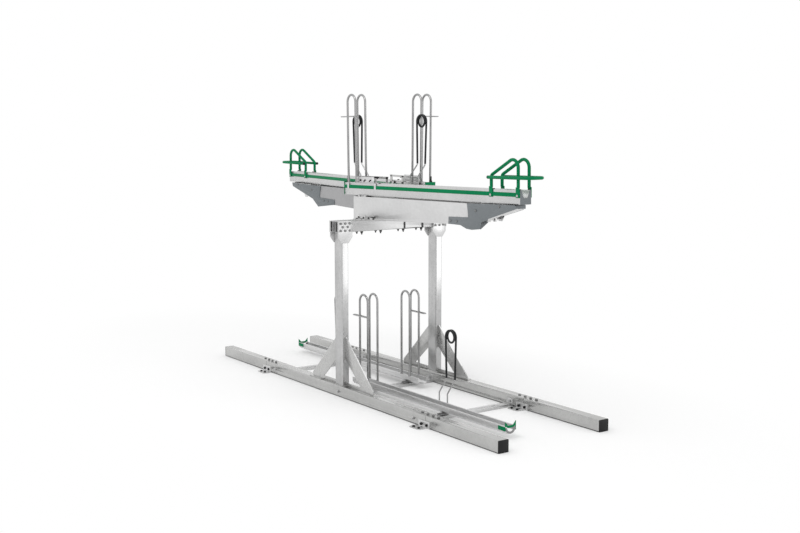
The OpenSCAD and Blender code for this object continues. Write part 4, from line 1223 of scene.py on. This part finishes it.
class Tier:
    """One tray of one side, with what stands on it."""

    hoops: Hoops
    clamp: Clamp

    def __init__(self, side: Side, place: Matrix, body: str) -> None:
        """Starts a tier.

        Args:
            side: Side of the rack that it stands on.
            place: Matrix from the left tray's own coordinates to the frame's.
            body: Body that it rides on.
        """
        self.side = side
        self.place = side.turn @ place
        self.body = body

    def put(self, name: str, bm: BMesh, finish: Finish, slot: str) -> Object:
        """Puts a mesh drawn in the tray's coordinates on the tier's body."""
        label = f"{name}_{self.side.label}"
        return place_piece(label, moved(bm, self.place), finish, self.body)

    def fix(self, name: str, bm: BMesh, finish: Finish, slot: str) -> Object:
        """Puts a mesh drawn in the frame's coordinates on the frame."""
        label = f"{name}_{self.side.label}"
        return place_piece(label, moved(bm, self.side.turn), finish, "frame")

    def put_hoops(self, name: str, node: str) -> None:
        """Replaces a node by the hoops."""
        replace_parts(self.put(name, self.hoops.build(), Finish.TUBE, "galvanised"), node)

    def put_clamp(self, name: str, node: str) -> None:
        """Replaces a node by the clamp's coat and adds the bare wire.

        Args:
            name: First part of the pieces' names.
            node: Name of the node.
        """
        coat = self.put(name + "_coat", self.clamp.coated(), Finish.SPRING, "clamp_coat")
        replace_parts(coat, node)
        self.put(name + "_wire", self.clamp.bare(), Finish.WIRE, "zinc_fixings")


class UpperTier(Tier):
    """One upper tray with its hoops, clamp and handle."""

    hoops = Hoops(near=92.0, far=195.0, low=90.0, high=724.0, lock=562.0)
    clamp = Clamp(
        feet=(110.0, 198.0), foot_z=74.0, knee_h=64.0, shift=84.0, shin_h=148.0, coil_h=456.0,
        mid_x=70.0,
    )

    def __init__(self, side: Side) -> None:
        """Takes the side of the rack that the tier stands on."""
        super().__init__(side, TrayFrame().upper, "tray_" + side.label)

    def build(self) -> None:
        """Builds and dresses the tier."""
        label = self.side.label
        base, handle = WheelBase(), Handle()
        plates = self.put("slot_plates", base.plates(), Finish.CARRIER, "galvanised")
        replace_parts(plates, "wheel_base_" + label)
        self.put("slot_frame", base.frame(), Finish.PLATE, "galvanised")
        self.put("slot_screws", base.screws(), Finish.IRON, "black_fixings")
        self.put("hoop_clip", base.clip(), Finish.IRON, "black_fixings")
        self.put("end_plate", EndPlate().build(), Finish.NOSE, "nose_cover")
        self.fix("cheek_edge", CHEEK_EDGE.build(), Finish.CARRIER, "galvanised")
        self.put("lug_bolts", handle.bolts(), Finish.WIRE, "zinc_fixings")
        self.put_hoops("wheel_hoops", "upper_hoops_" + label)
        self.put_clamp("clamp", "upper_clamp_" + label)
        pull = self.put("pull_handle", handle.build(), Finish.GREEN, "green_coat")
        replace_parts(pull, "handle_" + label)


class LowerTier(Tier):
    """One lower tray with its hoops and clamp, and the fine pieces of the frame's side."""

    hoops = Hoops(near=-46.0, far=58.0, low=84.0, high=724.0, lock=556.0)
    clamp = Clamp(
        feet=(-863.0, -783.0), foot_z=60.0, knee_h=79.0, shift=-80.0, shin_h=184.0, coil_h=477.0,
        mid_x=54.0,
    )

    def __init__(self, side: Side) -> None:
        """Takes the side of the rack that the tier stands on."""
        super().__init__(side, TrayFrame().lower, "frame")

    def build(self) -> None:
        """Builds and dresses the tier."""
        self.put_hoops("floor_hoops", "lower_hoops")
        self.put_clamp("floor_clamp", "lower_clamps")
        self.put("tray_cup", TrayCup().build(), Finish.BOLT, "galvanised")
        self.fix("column_weld", FootWeld().build(), Finish.PLATE, "galvanised")
        # painted highlights along the braces' cut edges
        edges = joined(edge.build() for edge in BRACE_HIGHLIGHTS)
        self.fix("brace_edges", edges, Finish.CUT, "galvanised")
        # painted shade: the nuts under the beams take the near black zinc
        self.fix("beam_nuts", BeamNuts().build(), Finish.DARK_BOLT, "zinc_fixings")


# Stage


@dataclass
class Stage:
    """Floor, lamps and camera, in metres."""

    camera_place: Place = (-4.7086, -6.8464, 1.9294)  # where the camera stands
    azimuth: float = -35.0474  # heading of the camera, left of +Y, in degrees
    pitch: float = 7.0121  # how far it looks down, in degrees
    roll: float = -0.0899  # its roll in degrees
    focal_px: float = 1143.85  # focal length in pixels
    view_px: float = 800.0  # width in pixels of the view that the focal length belongs to
    sensor_mm: float = 36.0  # width of the sensor
    floor_radius: float = 30.0  # reach of the floor
    floor_sides: int = 64  # corners of the floor
    fade_start: float = 0.65  # distance from the rack at which the floor starts to fade to white
    fade_stop: float = 1.9  # distance at which it is white
    fade_oval: float = 0.42  # width of the fade across the rack as a share of its length
    sky_light: float = 0.86  # strength of the even light all round
    target: Place = (0.0, 0.0, 0.9)  # where the lamps point
    # name, place, side and watts of each lamp
    lamps: tuple[tuple[str, Place, float, float], ...] = (
        ("key", (-4.0, -1.0, 6.0), 3.5, 90.0), ("front", (4.5, -6.0, 1.7), 3.0, 42.0)
    )

    def add_camera(self) -> None:
        """Adds the camera at the photograph's viewpoint."""
        data = bpy.data.cameras.new("camera")
        data.sensor_width = self.sensor_mm
        data.lens = self.focal_px / self.view_px * self.sensor_mm
        camera = bpy.data.objects.new("camera", data)
        bpy.context.scene.collection.objects.link(camera)
        camera.matrix_world = (
            Matrix.Translation(self.camera_place)
            @ Matrix.Rotation(math.radians(self.azimuth), 4, "Z")
            @ Matrix.Rotation(math.pi / 2 - math.radians(self.pitch), 4, "X")
            @ Matrix.Rotation(math.radians(self.roll), 4, "Z")
        )
        bpy.context.scene.camera = camera

    def add_floor(self) -> None:
        """Adds the pale floor, which keeps the rack's shadow and fades to white far off."""
        bm = bmesh.new()
        sides, radius = self.floor_sides, self.floor_radius
        bmesh.ops.create_circle(bm, cap_ends=True, segments=sides, radius=radius)
        recipe = Recipe("floor_white", metallic=0.0, roughness=0.9)
        recipe.shader.inputs["Base Color"].default_value = opaque(grey(1.0))
        recipe.shader.inputs["Specular IOR Level"].default_value = 0.0
        glow = recipe.add("Emission", {"Strength": 1.0}).outputs[0]
        squeeze = (1.0, self.fade_oval, 1.0)
        oval = recipe.add("VectorMath", {0: recipe.place, 1: squeeze}, operation="MULTIPLY")
        reach = recipe.add("VectorMath", {0: oval.outputs[0]}, operation="LENGTH").outputs["Value"]
        ends = {"From Min": self.fade_start, "From Max": self.fade_stop}
        fade = recipe.add("MapRange", {"Value": reach, **ends}).outputs["Result"]
        mix = recipe.add("MixShader", {0: fade, 1: recipe.shader.outputs[0], 2: glow})
        surface = recipe.tree.nodes["Material Output"].inputs["Surface"]
        recipe.tree.links.new(mix.outputs[0], surface)
        show("floor", bm, recipe.material)

    def add_world(self) -> None:
        """Adds a sky that camera and metal see as white, and that lights the rack softly."""
        world = bpy.data.worlds.new("studio")
        bpy.context.scene.world = world
        world.use_nodes = True
        graph = Graph(world.node_tree)
        back = graph.tree.nodes["Background"].inputs
        back["Color"].default_value = opaque(grey(1.0))
        rays = graph.add("LightPath", {}).outputs
        clear = {0: rays["Is Camera Ray"], 1: rays["Is Transmission Ray"]}
        through = graph.add("Math", clear, operation="MAXIMUM").outputs[0]
        seen = {0: through, 1: rays["Is Glossy Ray"]}
        white = graph.add("Math", seen, operation="MAXIMUM").outputs[0]
        level = graph.add("MapRange", {"To Min": self.sky_light, "To Max": 1.0, "Value": white})
        graph.tree.links.new(level.outputs["Result"], back["Strength"])

    def add_lamp(self, name: str, place: Vector, size: float, watts: float) -> None:
        """Adds a square soft lamp that points at the rack.

        Args:
            name: Name of the lamp.
            place: Where it hangs.
            size: Length of its sides.
            watts: Its power.
        """
        data = bpy.data.lights.new(name, "AREA")
        data.size = size
        data.energy = watts
        lamp = bpy.data.objects.new(name, data)
        bpy.context.scene.collection.objects.link(lamp)
        lamp.matrix_world = facing(place, Vector(self.target) - place, "-Z", "Y")

    def build(self) -> None:
        """Sets the stage."""
        self.add_camera()
        self.add_floor()
        self.add_world()
        for name, place, size, watts in self.lamps:
            self.add_lamp(name, Vector(place), size, watts)
        bpy.context.scene.view_settings.view_transform = "Standard"


PLAIN_NODES: dict[Finish, tuple[str, ...]] = {
    Finish.RAIL: ("rail_left_centre", "rail_right_centre", "rail_extensions", "splice_sleeves"),
    Finish.COLUMN: ("column_left", "column_right"),
    Finish.PLATE: ("column_braces",),
    Finish.CARRIER: (
        "head_plates", "carrier_left", "carrier_feet", "cradle_left", "cradle_right",
        "foot_brackets",
    ),
    # painted shade: the right carrier takes the darker copy of the carrier's zinc
    Finish.DULL: ("carrier_right",),
    Finish.BEAM: ("cross_beam_front", "cross_beam_rear"),
    Finish.DARK_BOLT: ("carrier_bolts",),
    # painted shade on the beam saddles
    Finish.RIB: ("beam_saddles",),
    Finish.TRAY: (
        "upper_tray_left", "upper_tray_right", "cross_bar_front", "cross_bar_middle",
        "cross_bar_rear",
    ),
    Finish.GROOVE: ("lower_trays",),
    Finish.BOLT: ("splice_bolts", "head_bolts", "nose_screws", "lower_tray_bolts"),
    Finish.NOSE: ("nose_cover_left", "nose_cover_right", "cradle_lip_left", "cradle_lip_right"),
    Finish.WIRE: ("nose_pins", "strut_rod_left", "strut_rod_right", "cross_bar_bolts"),
    Finish.GREEN: ("tray_strips_left", "tray_strips_right", "lower_tray_guides"),
    Finish.BLACK: (
        "rail_end_caps", "handle_plugs_left", "handle_plugs_right", "nose_roller_left",
        "nose_roller_right", "tray_roller_left", "tray_roller_right", "strut_cylinders",
    ),
    Finish.IRON: ("foot_bracket_bolts", "floor_anchors"),
}


def main() -> None:
    """Builds the stage, the finishes and the fine pieces."""
    logging.basicConfig(level=logging.INFO, format="%(message)s")
    Stage().build()
    for finish, nodes in PLAIN_NODES.items():
        for node in nodes:
            refine_node(node, finish)
    for side in Side:
        UpperTier(side).build()
        LowerTier(side).build()


if __name__ == "__main__":
    main()
